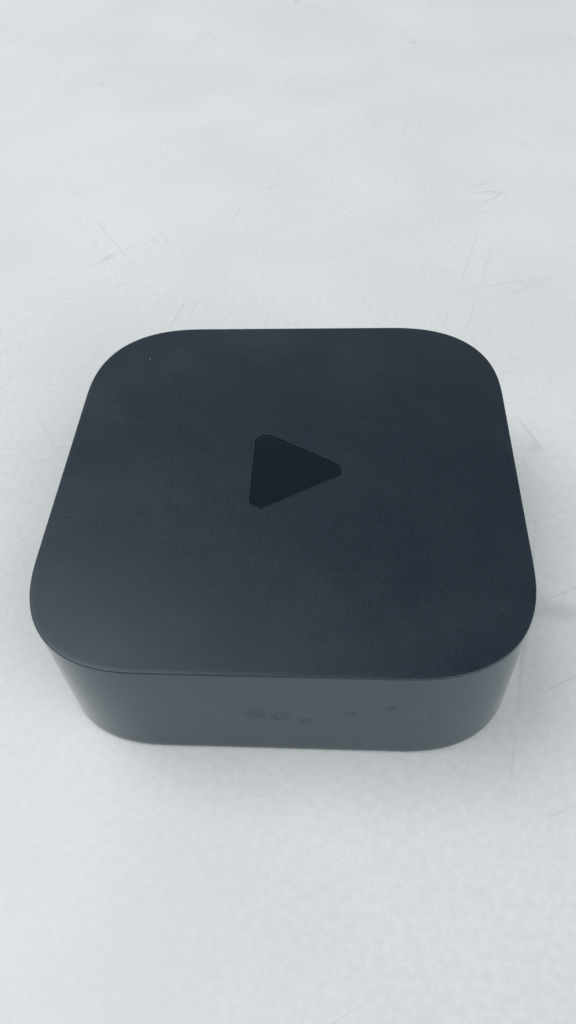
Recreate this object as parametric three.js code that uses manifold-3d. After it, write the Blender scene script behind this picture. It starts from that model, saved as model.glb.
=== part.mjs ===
// A small fanless streaming media player: a square box with a matt top and glossy sides.
// A one-piece shell slides down over a base tray. The tray carries a stack of a power supply board,
// a logic board and a finned heat sink, and the three rear sockets. A rubber foot is set under the tray.
// Millimetres, +Z up. The origin is where the centre of the foot meets the surface it stands on.
// +Y points to the sockets at the rear and -Y to the front.

import * as THREE from "three";
import { mergeVertices } from "three/addons/utils/BufferGeometryUtils.js";
import Module from "manifold-3d";

const wasm = await Module();
wasm.setup();

// ------------------------------------------------------------ overall sizes
const WIDTH = 93;
const DEPTH = 93;
const HEIGHT = 31;
const CORNER_REACH = 24.3; // length of side that each upright corner's curve takes up
const CORNER_POWER = 2.47; // 2 would be a plain arc; above it the curve starts softly
const CORNER_STEPS = 9;
const EDGE_CHAMFER = 0.3;
const ROUND_STEPS = 16; // sides of a small round piece
const OVERCUT = 1; // how far a cutter runs past the face that it cuts
const ROOT = 0.5; // how deep a joined feature is sunk into what it stands on

// ------------------------------------------------------------ clearances
const SEAT_GAP = 0.05; // between faces that rest on each other
const FIT_GAP = 0.3; // round a piece that fits into another
const SOCKET_GAP = 0.45; // between the rear wall and the sockets behind it

// ------------------------------------------------------------ shell
const WALL = 1.8;
const ROOF = 2;
const GUIDE_RIB = { thickness: 1.2, depth: 1.6, height: 7 };
const MARK = { reach: 9.1, cornerRadius: 2.2, thickness: 0.4, edgeGap: 0.15, sink: 0.03 };
const LIGHT_PIPE = { x: 28, radius: 0.6, holeGap: 0.2, setBack: 0.1 };
const LIGHT_PIPE_FLANGE = { radius: 1.4, thickness: 0.8 };
const SPREADER = { inset: 9, thickness: 0.3 };

// ------------------------------------------------------------ tray and foot
const FOOT = { radius: 33, drop: 0.7, thickness: 1.6, edgeRound: 0.3, steps: 40 };
const TRAY = { recess: 0.3, thickness: 2, lipHeight: 1.6, lipThickness: 1.2 };
const TONGUE = { width: 8, thickness: 1.2, height: 6, offset: 15 };
const BOSS = { radius: 3.2, height: 1.8, boreFloor: 0.8 };
const SHEET = 0.3; // both insulating sheets
const LOWER_SHEET_INSET = 5.5;
const UPPER_SHEET = { left: -2, front: -28, rear: 28 };

// ------------------------------------------------------------ boards and what clamps them
const BOARD_INSET = 4; // from the outside of the shell to a board's edge
const POWER_BOARD = 1.6;
const LOGIC_BOARD = 1.2;
const SPACER = { inset: 12.5, flats: 5, boreDepth: 7, studLength: 4.2 };
const SCREW = { radius: 1.25, grip: 6, headRadius: 2.3, headHeight: 1.5, headRound: 0.5 };
const SCREW_KEY = { radius: 1.2, depth: 0.9 };
const HOLE_RADIUS = SCREW.radius + FIT_GAP;

// ------------------------------------------------------------ rear sockets
const PORT_SPACING = 1.6;
const UNDER_SOCKETS = 1.4; // air between the power supply board and the deepest socket
const INLET = { width: 20.4, height: 12, depth: 13, cavity: 11, lobe: 3.85, pitch: 8.6, waist: 2.7 };
const INLET_PIN = { radius: 1.2, setBack: 0.5, tip: 0.5 };
const HDMI = { width: 15, height: 6, depth: 11.5, sheet: 0.4, cut: 1.5, backBlock: 3.4 };
const HDMI_TONGUE = { width: 10.8, thickness: 1.8, setBack: 1.2 };
const ETHERNET = { width: 16, height: 13.4, depth: 15.5, sheet: 0.4 };
const ETHERNET_PLUG = { width: 11.9, height: 7, latchWidth: 6.4, latchHeight: 2.6, cavity: 12.5, above: 2.2 };
const ETHERNET_CONTACTS = { count: 8, pitch: 1.02, wire: 0.4, reach: 7, slope: 2.2, drop: 0.8 };
const CONTACT_BAR = { depth: 1.4, height: 1.6 };
const WINDOW_GAP = 0.25; // round a plug's opening, where it passes through the shell's wall

// ------------------------------------------------------------ heat sink
const HEAT_SINK = { inset: 5.2, plate: 1.5, post: 3, island: 16, clear: 2.8 };
const FIN = { thickness: 1.2, pitch: 4.2, end: 3.4, roofAir: 0.6, screwClear: 4.4 };
const ANTENNA_NOTCH = { from: 9.5, to: 29.5, depth: 8.6 };

// ------------------------------------------------------------ power supply parts, on their board
const BULK_CAPACITOR = { radius: 5, length: 26, edge: 8, y: -15 };
const CAN = { groove: 0.5, grooveAt: 2, edge: 0.4 };
const OUTPUT_CAPACITOR = { radius: 4, height: 9.6, x: -9, y: [-31, -21.5] };
const TRANSFORMER = { x: 13, y: -12, width: 20, length: 18, thickness: 6, leg: 4, bar: 3, height: 9.6 };
const CHOKE = { x: 6.5, y: 22, radius: 6.5, hole: 2.6, height: 7.5, lift: 1.2, steps: 24 };
const OUTPUT_INDUCTOR = { x: -21, y: -26, radius: 4.2, height: 7.5, neck: 3.2, flange: 1.2 };
const SAFETY_CAPACITOR = { x: 24, y: 3.5, radius: 4, faceRadius: 3.4, thickness: 3, lift: 0.4 };
const FILTER_CAPACITOR = { x: 22, y: 22, size: [13, 7, 9.5] };
const FUSE = { x: 35, y: 22, size: [4.2, 8.4, 7.6] };
const RECTIFIER = { x: 34, y: 9.5, size: [8, 6.8, 2.6] };
const SWITCH_TRANSISTOR = { x: 9, y: 6, size: [10, 2.4, 9] };
const OPTOCOUPLER = { x: -2, y: -31, size: [4.6, 6.4, 3.4] };
const POWER_LINK = { x: -22, y: 2, width: 5, length: 15, plugShare: 0.45, plugInset: 0.4 };

// ------------------------------------------------------------ logic parts, on their board
const PROCESSOR = { x: 2, y: -4, size: [14, 14, 1.5] };
const THERMAL_PAD = 0.6;
const MEMORY = { x: -14, y: [-10, 2], size: [9, 10, 0.9] };
const FLASH = { x: 2, y: 13, size: [12, 13, 1] };
const POWER_CHIP = { x: 18, y: -8, size: [7, 7, 0.9] };
const CORE_INDUCTOR = { x: 18, y: [1, 7, 13], size: [4.2, 4.2, 2.1] };
const WIRELESS = { x: -25, y: -22, size: [16, 13, 1.8] };
const MAGNETICS = { y: 20, size: [12, 9, 6] };
const RECEIVER = { x: 19, size: [5.2, 4, 6], edge: 1.2 };
const RECEIVER_LENS = { radius: 1.9, tipRadius: 1.15, height: 0.8, sunk: 0.1 };
const LED = { size: [3, 1.6, 1.5], edge: 0.8 };
const ANTENNA = { width: 17, depth: 3.6, height: 6.4, sheet: 0.4, edge: 2.4 };
const ANTENNA_LEG = { width: 1.6, height: 2.6, places: [-1, 0.2] }; // places as shares of the half width
const COAX = { radius: 0.55, sides: 10, step: 1.5, turn: 3 };
const COAX_TURN = [[0, 0], [0.3, 0.4], [1, 0.8], [1.8, 0.95]]; // shares of the turn in X, of the way in Y
const LEADS = { left: { from: -28, to: -21.5 }, right: { from: -19.5, to: 14.5 } }; // x of each lead's ends

// ------------------------------------------------------------ heights, from the surface up
const RIM_Z = FOOT.drop;
const TRAY_Z = RIM_Z + TRAY.recess;
const TRAY_TOP = TRAY_Z + TRAY.thickness;
const POWER_Z = TRAY_TOP + BOSS.height;
const POWER_TOP = POWER_Z + POWER_BOARD;
const TALLEST = 2 * BULK_CAPACITOR.radius + FIT_GAP; // the highest power supply part
const LOGIC_Z = POWER_TOP + Math.max(
  UNDER_SOCKETS + (ETHERNET.height + HDMI.height) / 2 + SEAT_GAP,
  TALLEST + FIT_GAP + SHEET + SEAT_GAP,
);
const PORT_Z = LOGIC_Z - SEAT_GAP - HDMI.height / 2; // the video socket hangs under the logic board
const LOGIC_TOP = LOGIC_Z + LOGIC_BOARD;
const ROOF_Z = HEIGHT - ROOF;
const SOCKET_TOP = PORT_Z + Math.max(ETHERNET.height, INLET.height) / 2;
const SINK_Z = Math.max(LOGIC_TOP + HEAT_SINK.clear, SOCKET_TOP + FIT_GAP);
const SINK_TOP = SINK_Z + HEAT_SINK.plate;
const FIN_TOP = ROOF_Z - SEAT_GAP - SPREADER.thickness - FIN.roofAir;
const UPPER_SHEET_Z = LOGIC_Z - SEAT_GAP - SHEET;

// ------------------------------------------------------------ places in plan
const SPACER_X = WIDTH / 2 - SPACER.inset;
const SPACER_Y = DEPTH / 2 - SPACER.inset;
const BOARD_X = WIDTH / 2 - BOARD_INSET;
const BOARD_Y = DEPTH / 2 - BOARD_INSET;
const ROW_END = (INLET.width + HDMI.width + ETHERNET.width) / 2 + PORT_SPACING; // half the row of sockets
const INLET_X = ROW_END - INLET.width / 2;
const HDMI_X = ROW_END - INLET.width - PORT_SPACING - HDMI.width / 2;
const ETHERNET_X = ETHERNET.width / 2 - ROW_END;
const SOCKET_Y = wallY(ROW_END, WALL) - SOCKET_GAP;
const LED_Z = LOGIC_Z - SEAT_GAP - LED.size[2] / 2;
const FRONT_BOARD_Y = -wallY(LIGHT_PIPE.x, BOARD_INSET);
const SPACER_PLACES = [
  [-SPACER_X, -SPACER_Y],
  [SPACER_X, -SPACER_Y],
  [SPACER_X, SPACER_Y],
  [-SPACER_X, SPACER_Y],
];

// ------------------------------------------------------------ finishes
const finish = (color, roughness, metalness = 0) =>
  new THREE.MeshStandardMaterial({ color, roughness, metalness });
const FINISH = {
  shell: finish(0x23272c, 0.25),
  mark: finish(0x121416, 0.08),
  tray: finish(0x1d1f21, 0.6),
  rubber: finish(0x17181a, 0.9),
  lens: finish(0x2b2d30, 0.1),
  graphite: finish(0x3a3d40, 0.5, 0.4),
  sheet: finish(0x202224, 0.4),
  powerBoard: finish(0x1f5a3a, 0.5),
  logicBoard: finish(0x16242e, 0.45),
  steel: finish(0xb9bcc0, 0.3, 0.9),
  brass: finish(0xc7a256, 0.3, 0.9),
  gold: finish(0xd6ad4f, 0.25, 1),
  aluminium: finish(0xa7abaf, 0.45, 0.8),
  blackPlastic: finish(0x18191b, 0.5),
  chip: finish(0x1a1b1d, 0.45),
  ferrite: finish(0x2c2d2f, 0.7),
  winding: finish(0xc9a227, 0.45),
  copper: finish(0xb06a3a, 0.35, 0.8),
  filmCase: finish(0xb99a34, 0.45),
  disc: finish(0x2b5c9a, 0.5),
  can: finish(0x24303f, 0.35),
  pad: finish(0x7d8fa3, 0.8),
  cable: finish(0x3b3d40, 0.6),
};

// ------------------------------------------------------------ shared shapes

// y of the rear wall at a given x, on the outline drawn `inset` inside the shell's outside.
function wallY(x, inset) {
  const reach = CORNER_REACH - inset;
  const past = Math.max(0, Math.abs(x) - (WIDTH / 2 - CORNER_REACH));
  return DEPTH / 2 - CORNER_REACH + reach * (1 - (past / reach) ** CORNER_POWER) ** (1 / CORNER_POWER);
}

// The box's outline in plan, drawn `inset` inside the shell's outside.
// Its sides are straight and its corners are superellipses.
function boxOutline(inset) {
  const reach = CORNER_REACH - inset;
  const points = [];
  for (const [signX, signY] of [[1, 1], [-1, 1], [-1, -1], [1, -1]]) {
    for (let step = 0; step <= CORNER_STEPS; step++) {
      const share = signX === signY ? step / CORNER_STEPS : 1 - step / CORNER_STEPS;
      const angle = (share * Math.PI) / 2;
      const alongX = reach * Math.abs(Math.cos(angle)) ** (2 / CORNER_POWER);
      const alongY = reach * Math.abs(Math.sin(angle)) ** (2 / CORNER_POWER);
      const x = signX * (WIDTH / 2 - CORNER_REACH + alongX);
      const y = signY * (DEPTH / 2 - CORNER_REACH + alongY);
      points.push(new THREE.Vector2(x, y));
    }
  }
  return new THREE.Shape(points);
}

function rectangle(width, height, centreX = 0, centreY = 0) {
  const [x, y] = [centreX - width / 2, centreY - height / 2];
  return new THREE.Shape([
    new THREE.Vector2(x, y),
    new THREE.Vector2(x + width, y),
    new THREE.Vector2(x + width, y + height),
    new THREE.Vector2(x, y + height),
  ]);
}

// Two round lobes joined by a waist: the opening of a two-pin mains inlet, grown by `gap`.
function figureEight(gap = 0) {
  const radius = INLET.lobe + gap;
  const turn = Math.asin((INLET.waist + gap) / radius);
  const shape = new THREE.Shape();
  shape.absarc(INLET.pitch / 2, 0, radius, turn - Math.PI, Math.PI - turn, false);
  shape.absarc(-INLET.pitch / 2, 0, radius, turn, 2 * Math.PI - turn, false);
  return shape;
}

// The video socket's outline, drawn `inset` inside its outside: a flat oblong with its lower corners cut off.
function videoOutline(inset = 0) {
  const [halfX, halfY, cut] = [HDMI.width / 2 - inset, HDMI.height / 2 - inset, HDMI.cut];
  return new THREE.Shape([
    new THREE.Vector2(-halfX + cut, -halfY),
    new THREE.Vector2(halfX - cut, -halfY),
    new THREE.Vector2(halfX, -halfY + cut),
    new THREE.Vector2(halfX, halfY),
    new THREE.Vector2(-halfX, halfY),
    new THREE.Vector2(-halfX, -halfY + cut),
  ]);
}

// The network socket's opening, grown by `gap`: the plug's oblong, with a narrower step below for the latch.
function networkOpening(gap = 0) {
  const top = ETHERNET.height / 2 - ETHERNET_PLUG.above + gap;
  const shelf = ETHERNET.height / 2 - ETHERNET_PLUG.above - ETHERNET_PLUG.height - gap;
  const bottom = shelf - ETHERNET_PLUG.latchHeight;
  const [wide, narrow] = [ETHERNET_PLUG.width / 2 + gap, ETHERNET_PLUG.latchWidth / 2 + gap];
  return new THREE.Shape([
    new THREE.Vector2(-narrow, bottom),
    new THREE.Vector2(narrow, bottom),
    new THREE.Vector2(narrow, shelf),
    new THREE.Vector2(wide, shelf),
    new THREE.Vector2(wide, top),
    new THREE.Vector2(-wide, top),
    new THREE.Vector2(-wide, shelf),
    new THREE.Vector2(-narrow, shelf),
  ]);
}

// A triangle with round corners, pointing along +X: a plain play sign.
function playSign(gap = 0) {
  const shape = new THREE.Shape();
  for (const turn of [0, 1, 2]) {
    const toward = (turn * 2 * Math.PI) / 3;
    const [x, y] = [MARK.reach * Math.cos(toward), MARK.reach * Math.sin(toward)];
    shape.absarc(x, y, MARK.cornerRadius + gap, toward - Math.PI / 3, toward + Math.PI / 3, false);
  }
  return shape;
}

// ------------------------------------------------------------ geometry helpers

const upward = (shape, height) =>
  new THREE.ExtrudeGeometry(shape, { depth: height, bevelEnabled: false, curveSegments: ROUND_STEPS / 2 });
const inward = (shape, depth) => upward(shape, depth).rotateX(Math.PI / 2); // from a rear face towards -Y
const block = (width, depth, height) =>
  new THREE.BoxGeometry(width, depth, height).translate(0, 0, height / 2);
const post = (radius, height, steps = ROUND_STEPS) =>
  new THREE.CylinderGeometry(radius, radius, height, steps).rotateX(Math.PI / 2).translate(0, 0, height / 2);

// A solid of revolution about Z from [radius, height] pairs that start and end on the axis.
function turned(profile, steps = ROUND_STEPS) {
  const points = profile.map(([radius, z]) => new THREE.Vector2(radius, z));
  return new THREE.LatheGeometry(points, steps).rotateX(Math.PI / 2);
}

// A three.js geometry as a manifold-3d solid, for cutting and joining.
function solid(geometry) {
  const bare = geometry.index ? geometry.toNonIndexed() : geometry.clone();
  bare.deleteAttribute("normal");
  bare.deleteAttribute("uv");
  const merged = mergeVertices(bare, 1e-4);
  return new wasm.Manifold(
    new wasm.Mesh({
      numProp: 3,
      vertProperties: merged.attributes.position.array,
      triVerts: new Uint32Array(merged.index.array),
    }),
  );
}

function geometryOf(manifold) {
  const mesh = manifold.getMesh();
  const geometry = new THREE.BufferGeometry();
  geometry.setAttribute("position", new THREE.BufferAttribute(new Float32Array(mesh.vertProperties), 3));
  geometry.setIndex(new THREE.BufferAttribute(new Uint32Array(mesh.triVerts), 1));
  const flat = geometry.toNonIndexed();
  flat.computeVertexNormals();
  return flat;
}

const join = (...geometries) => geometries.map(solid).reduce((whole, piece) => whole.add(piece));
const cut = (from, ...cutters) => cutters.map(solid).reduce((whole, cutter) => whole.subtract(cutter), from);

// Cutters for four round holes at the spacers, through a sheet that starts at z = 0.
const clampHoles = (radius, thickness) =>
  SPACER_PLACES.map(([x, y]) => post(radius, thickness + 2 * OVERCUT).translate(x, y, -OVERCUT));

// A named piece, placed by its position. `shape` is a geometry or a manifold-3d solid.
function piece(name, shape, material, [x, y, z] = [0, 0, 0]) {
  const geometry = shape.isBufferGeometry ? shape : geometryOf(shape);
  const mesh = new THREE.Mesh(geometry, material);
  mesh.name = name;
  mesh.position.set(x, y, z);
  return mesh;
}

// A plain packaged part that stands on a board, at {x, y, size}.
const packaged = (name, { x, y, size }, material, z) =>
  piece(name, block(...size), material, [x, y, z + SEAT_GAP]);

// The outline's ring between two insets, from z up.
const ring = (outer, inner, height, z) =>
  cut(
    solid(upward(boxOutline(outer), height).translate(0, 0, z)),
    upward(boxOutline(inner), height + 2 * OVERCUT).translate(0, 0, z - OVERCUT),
  );

// ------------------------------------------------------------ shell and what is fixed in it

// Where the tray's tongues stand: two on each side and two at the front, as [x, y, turn about Z].
function tonguePlaces() {
  const reachX = WIDTH / 2 - WALL - FIT_GAP - TONGUE.thickness / 2;
  const reachY = DEPTH / 2 - WALL - FIT_GAP - TONGUE.thickness / 2;
  return [-1, 1].flatMap((side) => [
    [reachX, side * TONGUE.offset, 0],
    [-reachX, side * TONGUE.offset, Math.PI],
    [side * TONGUE.offset, -reachY, -Math.PI / 2],
  ]);
}

// Two upright ribs on the shell's inside, one each side of a tongue.
function guideRibs([x, y, turn]) {
  const out = FIT_GAP + TONGUE.thickness / 2;
  const aside = TONGUE.width / 2 + FIT_GAP + GUIDE_RIB.thickness / 2;
  const z = TRAY_TOP + TRAY.lipHeight + FIT_GAP;
  return [-1, 1].map((side) =>
    block(GUIDE_RIB.depth + WALL / 2, GUIDE_RIB.thickness, GUIDE_RIB.height)
      .translate(out + (WALL / 2 - GUIDE_RIB.depth) / 2, side * aside, 0)
      .rotateZ(turn)
      .translate(x, y, z),
  );
}

function housingShell() {
  const outside = new THREE.ExtrudeGeometry(boxOutline(EDGE_CHAMFER), {
    depth: HEIGHT - RIM_Z - 2 * EDGE_CHAMFER,
    bevelThickness: EDGE_CHAMFER,
    bevelSize: EDGE_CHAMFER,
    bevelSegments: 1,
  }).translate(0, 0, RIM_Z + EDGE_CHAMFER);
  const inside = upward(boxOutline(WALL), ROOF_Z);
  const bend = DEPTH / 2 - wallY(ROW_END, 0); // how far the wall falls back at the end of the sockets
  const throughWall = (shape, x) =>
    inward(shape, WALL + bend + 2 * OVERCUT).translate(x, DEPTH / 2 + OVERCUT, PORT_Z);
  const lightHole = new THREE.CylinderGeometry(
    LIGHT_PIPE.radius + LIGHT_PIPE.holeGap,
    LIGHT_PIPE.radius + LIGHT_PIPE.holeGap,
    WALL + 2 * OVERCUT,
    ROUND_STEPS,
  ).translate(LIGHT_PIPE.x, -wallY(LIGHT_PIPE.x, WALL / 2), LED_Z);
  const pocketDepth = MARK.thickness + MARK.sink + SEAT_GAP;
  const cap = cut(
    solid(outside),
    inside,
    upward(playSign(MARK.edgeGap), pocketDepth + OVERCUT).translate(0, 0, HEIGHT - pocketDepth),
    throughWall(figureEight(WINDOW_GAP), INLET_X),
    throughWall(videoOutline(HDMI.sheet - WINDOW_GAP), HDMI_X),
    throughWall(networkOpening(WINDOW_GAP), ETHERNET_X),
    lightHole,
  );
  const ribbed = tonguePlaces().flatMap(guideRibs).map(solid).reduce((whole, rib) => whole.add(rib), cap);
  return piece("housing_shell", ribbed, FINISH.shell);
}

function topMark() {
  const inlay = upward(playSign(), MARK.thickness);
  return piece("top_mark", inlay, FINISH.mark, [0, 0, HEIGHT - MARK.sink - MARK.thickness]);
}

// A short rod through the front wall with a flange that is glued behind it.
function lightPipe() {
  const outerY = wallY(LIGHT_PIPE.x, 0) - LIGHT_PIPE.setBack;
  const innerY = wallY(LIGHT_PIPE.x + LIGHT_PIPE_FLANGE.radius, WALL) - FIT_GAP;
  const rod = outerY - innerY;
  const end = rod + LIGHT_PIPE_FLANGE.thickness;
  const shape = turned([
    [0, 0],
    [LIGHT_PIPE.radius, 0],
    [LIGHT_PIPE.radius, rod],
    [LIGHT_PIPE_FLANGE.radius, rod],
    [LIGHT_PIPE_FLANGE.radius, end],
    [0, end],
  ]).rotateX(-Math.PI / 2);
  return piece("light_pipe", shape, FINISH.lens, [LIGHT_PIPE.x, -outerY, LED_Z]);
}

function roofHeatSpreader() {
  const sheet = upward(boxOutline(SPREADER.inset), SPREADER.thickness);
  return piece("roof_heat_spreader", sheet, FINISH.graphite, [0, 0, ROOF_Z - SEAT_GAP - SPREADER.thickness]);
}

// ------------------------------------------------------------ tray, foot and insulating sheets

function baseTray() {
  const inset = WALL + FIT_GAP;
  const plate = upward(boxOutline(inset), TRAY.thickness).translate(0, 0, TRAY_Z);
  const root = TRAY_TOP - ROOT;
  const bosses = SPACER_PLACES.map(([x, y]) =>
    post(BOSS.radius, BOSS.height - SEAT_GAP + ROOT).translate(x, y, root),
  );
  const tongues = tonguePlaces().map(([x, y, turn]) =>
    block(TONGUE.thickness, TONGUE.width, TONGUE.height + ROOT).rotateZ(turn).translate(x, y, root),
  );
  const lip = ring(inset, inset + TRAY.lipThickness, TRAY.lipHeight + ROOT, root);
  const body = join(plate, ...bosses, ...tongues).add(lip);
  const boreFloor = TRAY_Z + BOSS.boreFloor;
  const bores = SPACER_PLACES.map(([x, y]) => post(HOLE_RADIUS, HEIGHT).translate(x, y, boreFloor));
  const recessTop = FOOT.thickness + SEAT_GAP;
  const recess = post(FOOT.radius + FIT_GAP, recessTop + OVERCUT, FOOT.steps).translate(0, 0, -OVERCUT);
  return piece("base_tray", cut(body, ...bores, recess), FINISH.tray);
}

function rubberFoot() {
  const { radius, thickness, edgeRound } = FOOT;
  const profile = [[0, 0], [radius - edgeRound, 0], [radius, edgeRound], [radius, thickness], [0, thickness]];
  return piece("rubber_foot", turned(profile, FOOT.steps), FINISH.rubber);
}

function lowerInsulator() {
  const blank = solid(upward(boxOutline(LOWER_SHEET_INSET), SHEET));
  const sheet = cut(blank, ...clampHoles(BOSS.radius + FIT_GAP, SHEET));
  return piece("lower_insulator", sheet, FINISH.sheet, [0, 0, TRAY_TOP + SEAT_GAP]);
}

// A film stuck under the logic board, over the mains side of the power supply and clear of the spacers.
function upperInsulator() {
  const { left, front, rear } = UPPER_SHEET;
  const right = BOARD_X - 1;
  const sheet = block(right - left, rear - front, SHEET);
  const place = [(left + right) / 2, (front + rear) / 2, UPPER_SHEET_Z];
  return piece("upper_insulator", sheet, FINISH.sheet, place);
}

// ------------------------------------------------------------ boards, spacers and screws

function powerBoard() {
  const blank = solid(upward(boxOutline(BOARD_INSET), POWER_BOARD));
  const board = cut(blank, ...clampHoles(HOLE_RADIUS, POWER_BOARD));
  return piece("power_board", board, FINISH.powerBoard, [0, 0, POWER_Z]);
}

// Notched at the rear for the two sockets that are taller than the space under it.
function logicBoard() {
  const notch = ({ width, depth }, x) => {
    const front = SOCKET_Y - depth - FIT_GAP;
    const length = DEPTH / 2 - front;
    const height = LOGIC_BOARD + 2 * OVERCUT;
    return block(width + 2 * FIT_GAP, length, height).translate(x, front + length / 2, -OVERCUT);
  };
  const blank = solid(upward(boxOutline(BOARD_INSET), LOGIC_BOARD));
  const notches = [notch(INLET, INLET_X), notch(ETHERNET, ETHERNET_X)];
  const board = cut(blank, ...notches, ...clampHoles(HOLE_RADIUS, LOGIC_BOARD));
  return piece("logic_board", board, FINISH.logicBoard, [0, 0, LOGIC_Z]);
}

// A hexagonal pillar between the boards: a threaded stud below and a threaded bore above, both drawn plain.
function spacer([x, y], number) {
  const foot = POWER_TOP + SEAT_GAP;
  const length = LOGIC_Z - SEAT_GAP - foot;
  const pillar = post(SPACER.flats / Math.sqrt(3), length, 6);
  const stud = post(SCREW.radius, SPACER.studLength + ROOT).translate(0, 0, -SPACER.studLength);
  const bore = post(HOLE_RADIUS, SPACER.boreDepth + OVERCUT).translate(0, 0, length - SPACER.boreDepth);
  return piece(`spacer_${number}`, cut(join(pillar, stud), bore), FINISH.brass, [x, y, foot]);
}

// A pan-head screw with a six-sided key, through the heat sink and the logic board into a spacer.
function stackScrew([x, y], number) {
  const shank = SINK_TOP + SEAT_GAP - LOGIC_Z + SCREW.grip;
  const { radius, headRadius, headHeight, headRound } = SCREW;
  const body = turned([
    [0, -shank],
    [radius, -shank],
    [radius, 0],
    [headRadius, 0],
    [headRadius, headHeight - headRound],
    [headRadius - headRound, headHeight],
    [0, headHeight],
  ]);
  const keyFloor = headHeight - SCREW_KEY.depth;
  const key = post(SCREW_KEY.radius, SCREW_KEY.depth + OVERCUT, 6).translate(0, 0, keyFloor);
  return piece(`stack_screw_${number}`, cut(solid(body), key), FINISH.steel, [x, y, SINK_TOP + SEAT_GAP]);
}

// ------------------------------------------------------------ rear sockets

function mainsInlet() {
  const foot = POWER_TOP + SEAT_GAP - PORT_Z;
  const tall = INLET.height / 2 - foot;
  const body = inward(rectangle(INLET.width, tall, 0, foot + tall / 2), INLET.depth);
  const cavity = inward(figureEight(), INLET.cavity + OVERCUT).translate(0, OVERCUT, 0);
  const pinHoles = [-1, 1].map((side) =>
    post(INLET_PIN.radius + FIT_GAP, INLET.depth)
      .rotateX(Math.PI / 2)
      .translate((side * INLET.pitch) / 2, -INLET.cavity + OVERCUT, 0),
  );
  const housing = cut(solid(body), cavity, ...pinHoles);
  return piece("inlet_housing", housing, FINISH.blackPlastic, [INLET_X, SOCKET_Y, PORT_Z]);
}

// A round mains pin that comes out of the back of the cavity and stops short of the mouth.
function mainsPin(name, side) {
  const { radius, setBack, tip } = INLET_PIN;
  const length = INLET.depth - setBack;
  const profile = [[0, 0], [radius, 0], [radius, length - tip], [radius - tip, length], [0, length]];
  const place = [INLET_X + (side * INLET.pitch) / 2, SOCKET_Y - INLET.depth, PORT_Z];
  return piece(name, turned(profile).rotateX(-Math.PI / 2), FINISH.steel, place);
}

function videoSocket() {
  const hollow = inward(videoOutline(HDMI.sheet), HDMI.depth + 2 * OVERCUT).translate(0, OVERCUT, 0);
  const sleeve = cut(solid(inward(videoOutline(), HDMI.depth)), hollow);
  return piece("video_socket_shell", sleeve, FINISH.steel, [HDMI_X, SOCKET_Y, PORT_Z]);
}

// The moulded block at the back of the video socket, with the tongue that carries its contacts.
function videoTongue() {
  const { width, thickness, setBack } = HDMI_TONGUE;
  const inset = HDMI.sheet + SEAT_GAP;
  const back = inward(videoOutline(inset), HDMI.backBlock).translate(0, HDMI.backBlock - HDMI.depth, 0);
  const tongue = inward(rectangle(width, thickness), HDMI.depth - setBack).translate(0, -setBack, 0);
  return piece("video_socket_tongue", join(back, tongue), FINISH.blackPlastic, [HDMI_X, SOCKET_Y, PORT_Z]);
}

function networkHousing() {
  const inset = 2 * (ETHERNET.sheet + SEAT_GAP);
  const [width, height] = [ETHERNET.width - inset, ETHERNET.height - inset];
  const depth = ETHERNET.depth - ETHERNET.sheet - SEAT_GAP;
  const body = solid(inward(rectangle(width, height), depth));
  const opening = inward(networkOpening(), ETHERNET_PLUG.cavity + OVERCUT).translate(0, OVERCUT, 0);
  const housing = cut(body, opening);
  return piece("network_socket_housing", housing, FINISH.blackPlastic, [ETHERNET_X, SOCKET_Y, PORT_Z]);
}

// A sheet-metal case round the network socket, open at its face.
function networkShield() {
  const { width, height, depth, sheet } = ETHERNET;
  const inner = inward(rectangle(width - 2 * sheet, height - 2 * sheet), depth).translate(0, sheet, 0);
  const shield = cut(solid(inward(rectangle(width, height), depth)), inner);
  return piece("network_socket_shield", shield, FINISH.steel, [ETHERNET_X, SOCKET_Y, PORT_Z]);
}

// Eight sloping spring contacts on one moulded bar, hanging from the cavity's ceiling.
function networkContacts() {
  const { count, pitch, wire, reach, slope, drop } = ETHERNET_CONTACTS;
  const { depth, height } = CONTACT_BAR;
  const ceiling = ETHERNET.height / 2 - ETHERNET_PLUG.above - SEAT_GAP;
  const barY = -ETHERNET_PLUG.cavity + FIT_GAP + depth / 2;
  const bar = block((count + 1) * pitch, depth, height).translate(0, barY, ceiling - height);
  const angle = Math.atan2(slope, reach);
  const wires = Array.from({ length: count }, (_, index) =>
    block(wire, reach, wire)
      .translate(0, reach / 2, 0)
      .rotateX(-angle)
      .translate((index - (count - 1) / 2) * pitch, barY, ceiling - drop),
  );
  return piece("network_socket_contacts", join(bar, ...wires), FINISH.gold, [ETHERNET_X, SOCKET_Y, PORT_Z]);
}

// ------------------------------------------------------------ heat sink

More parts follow.
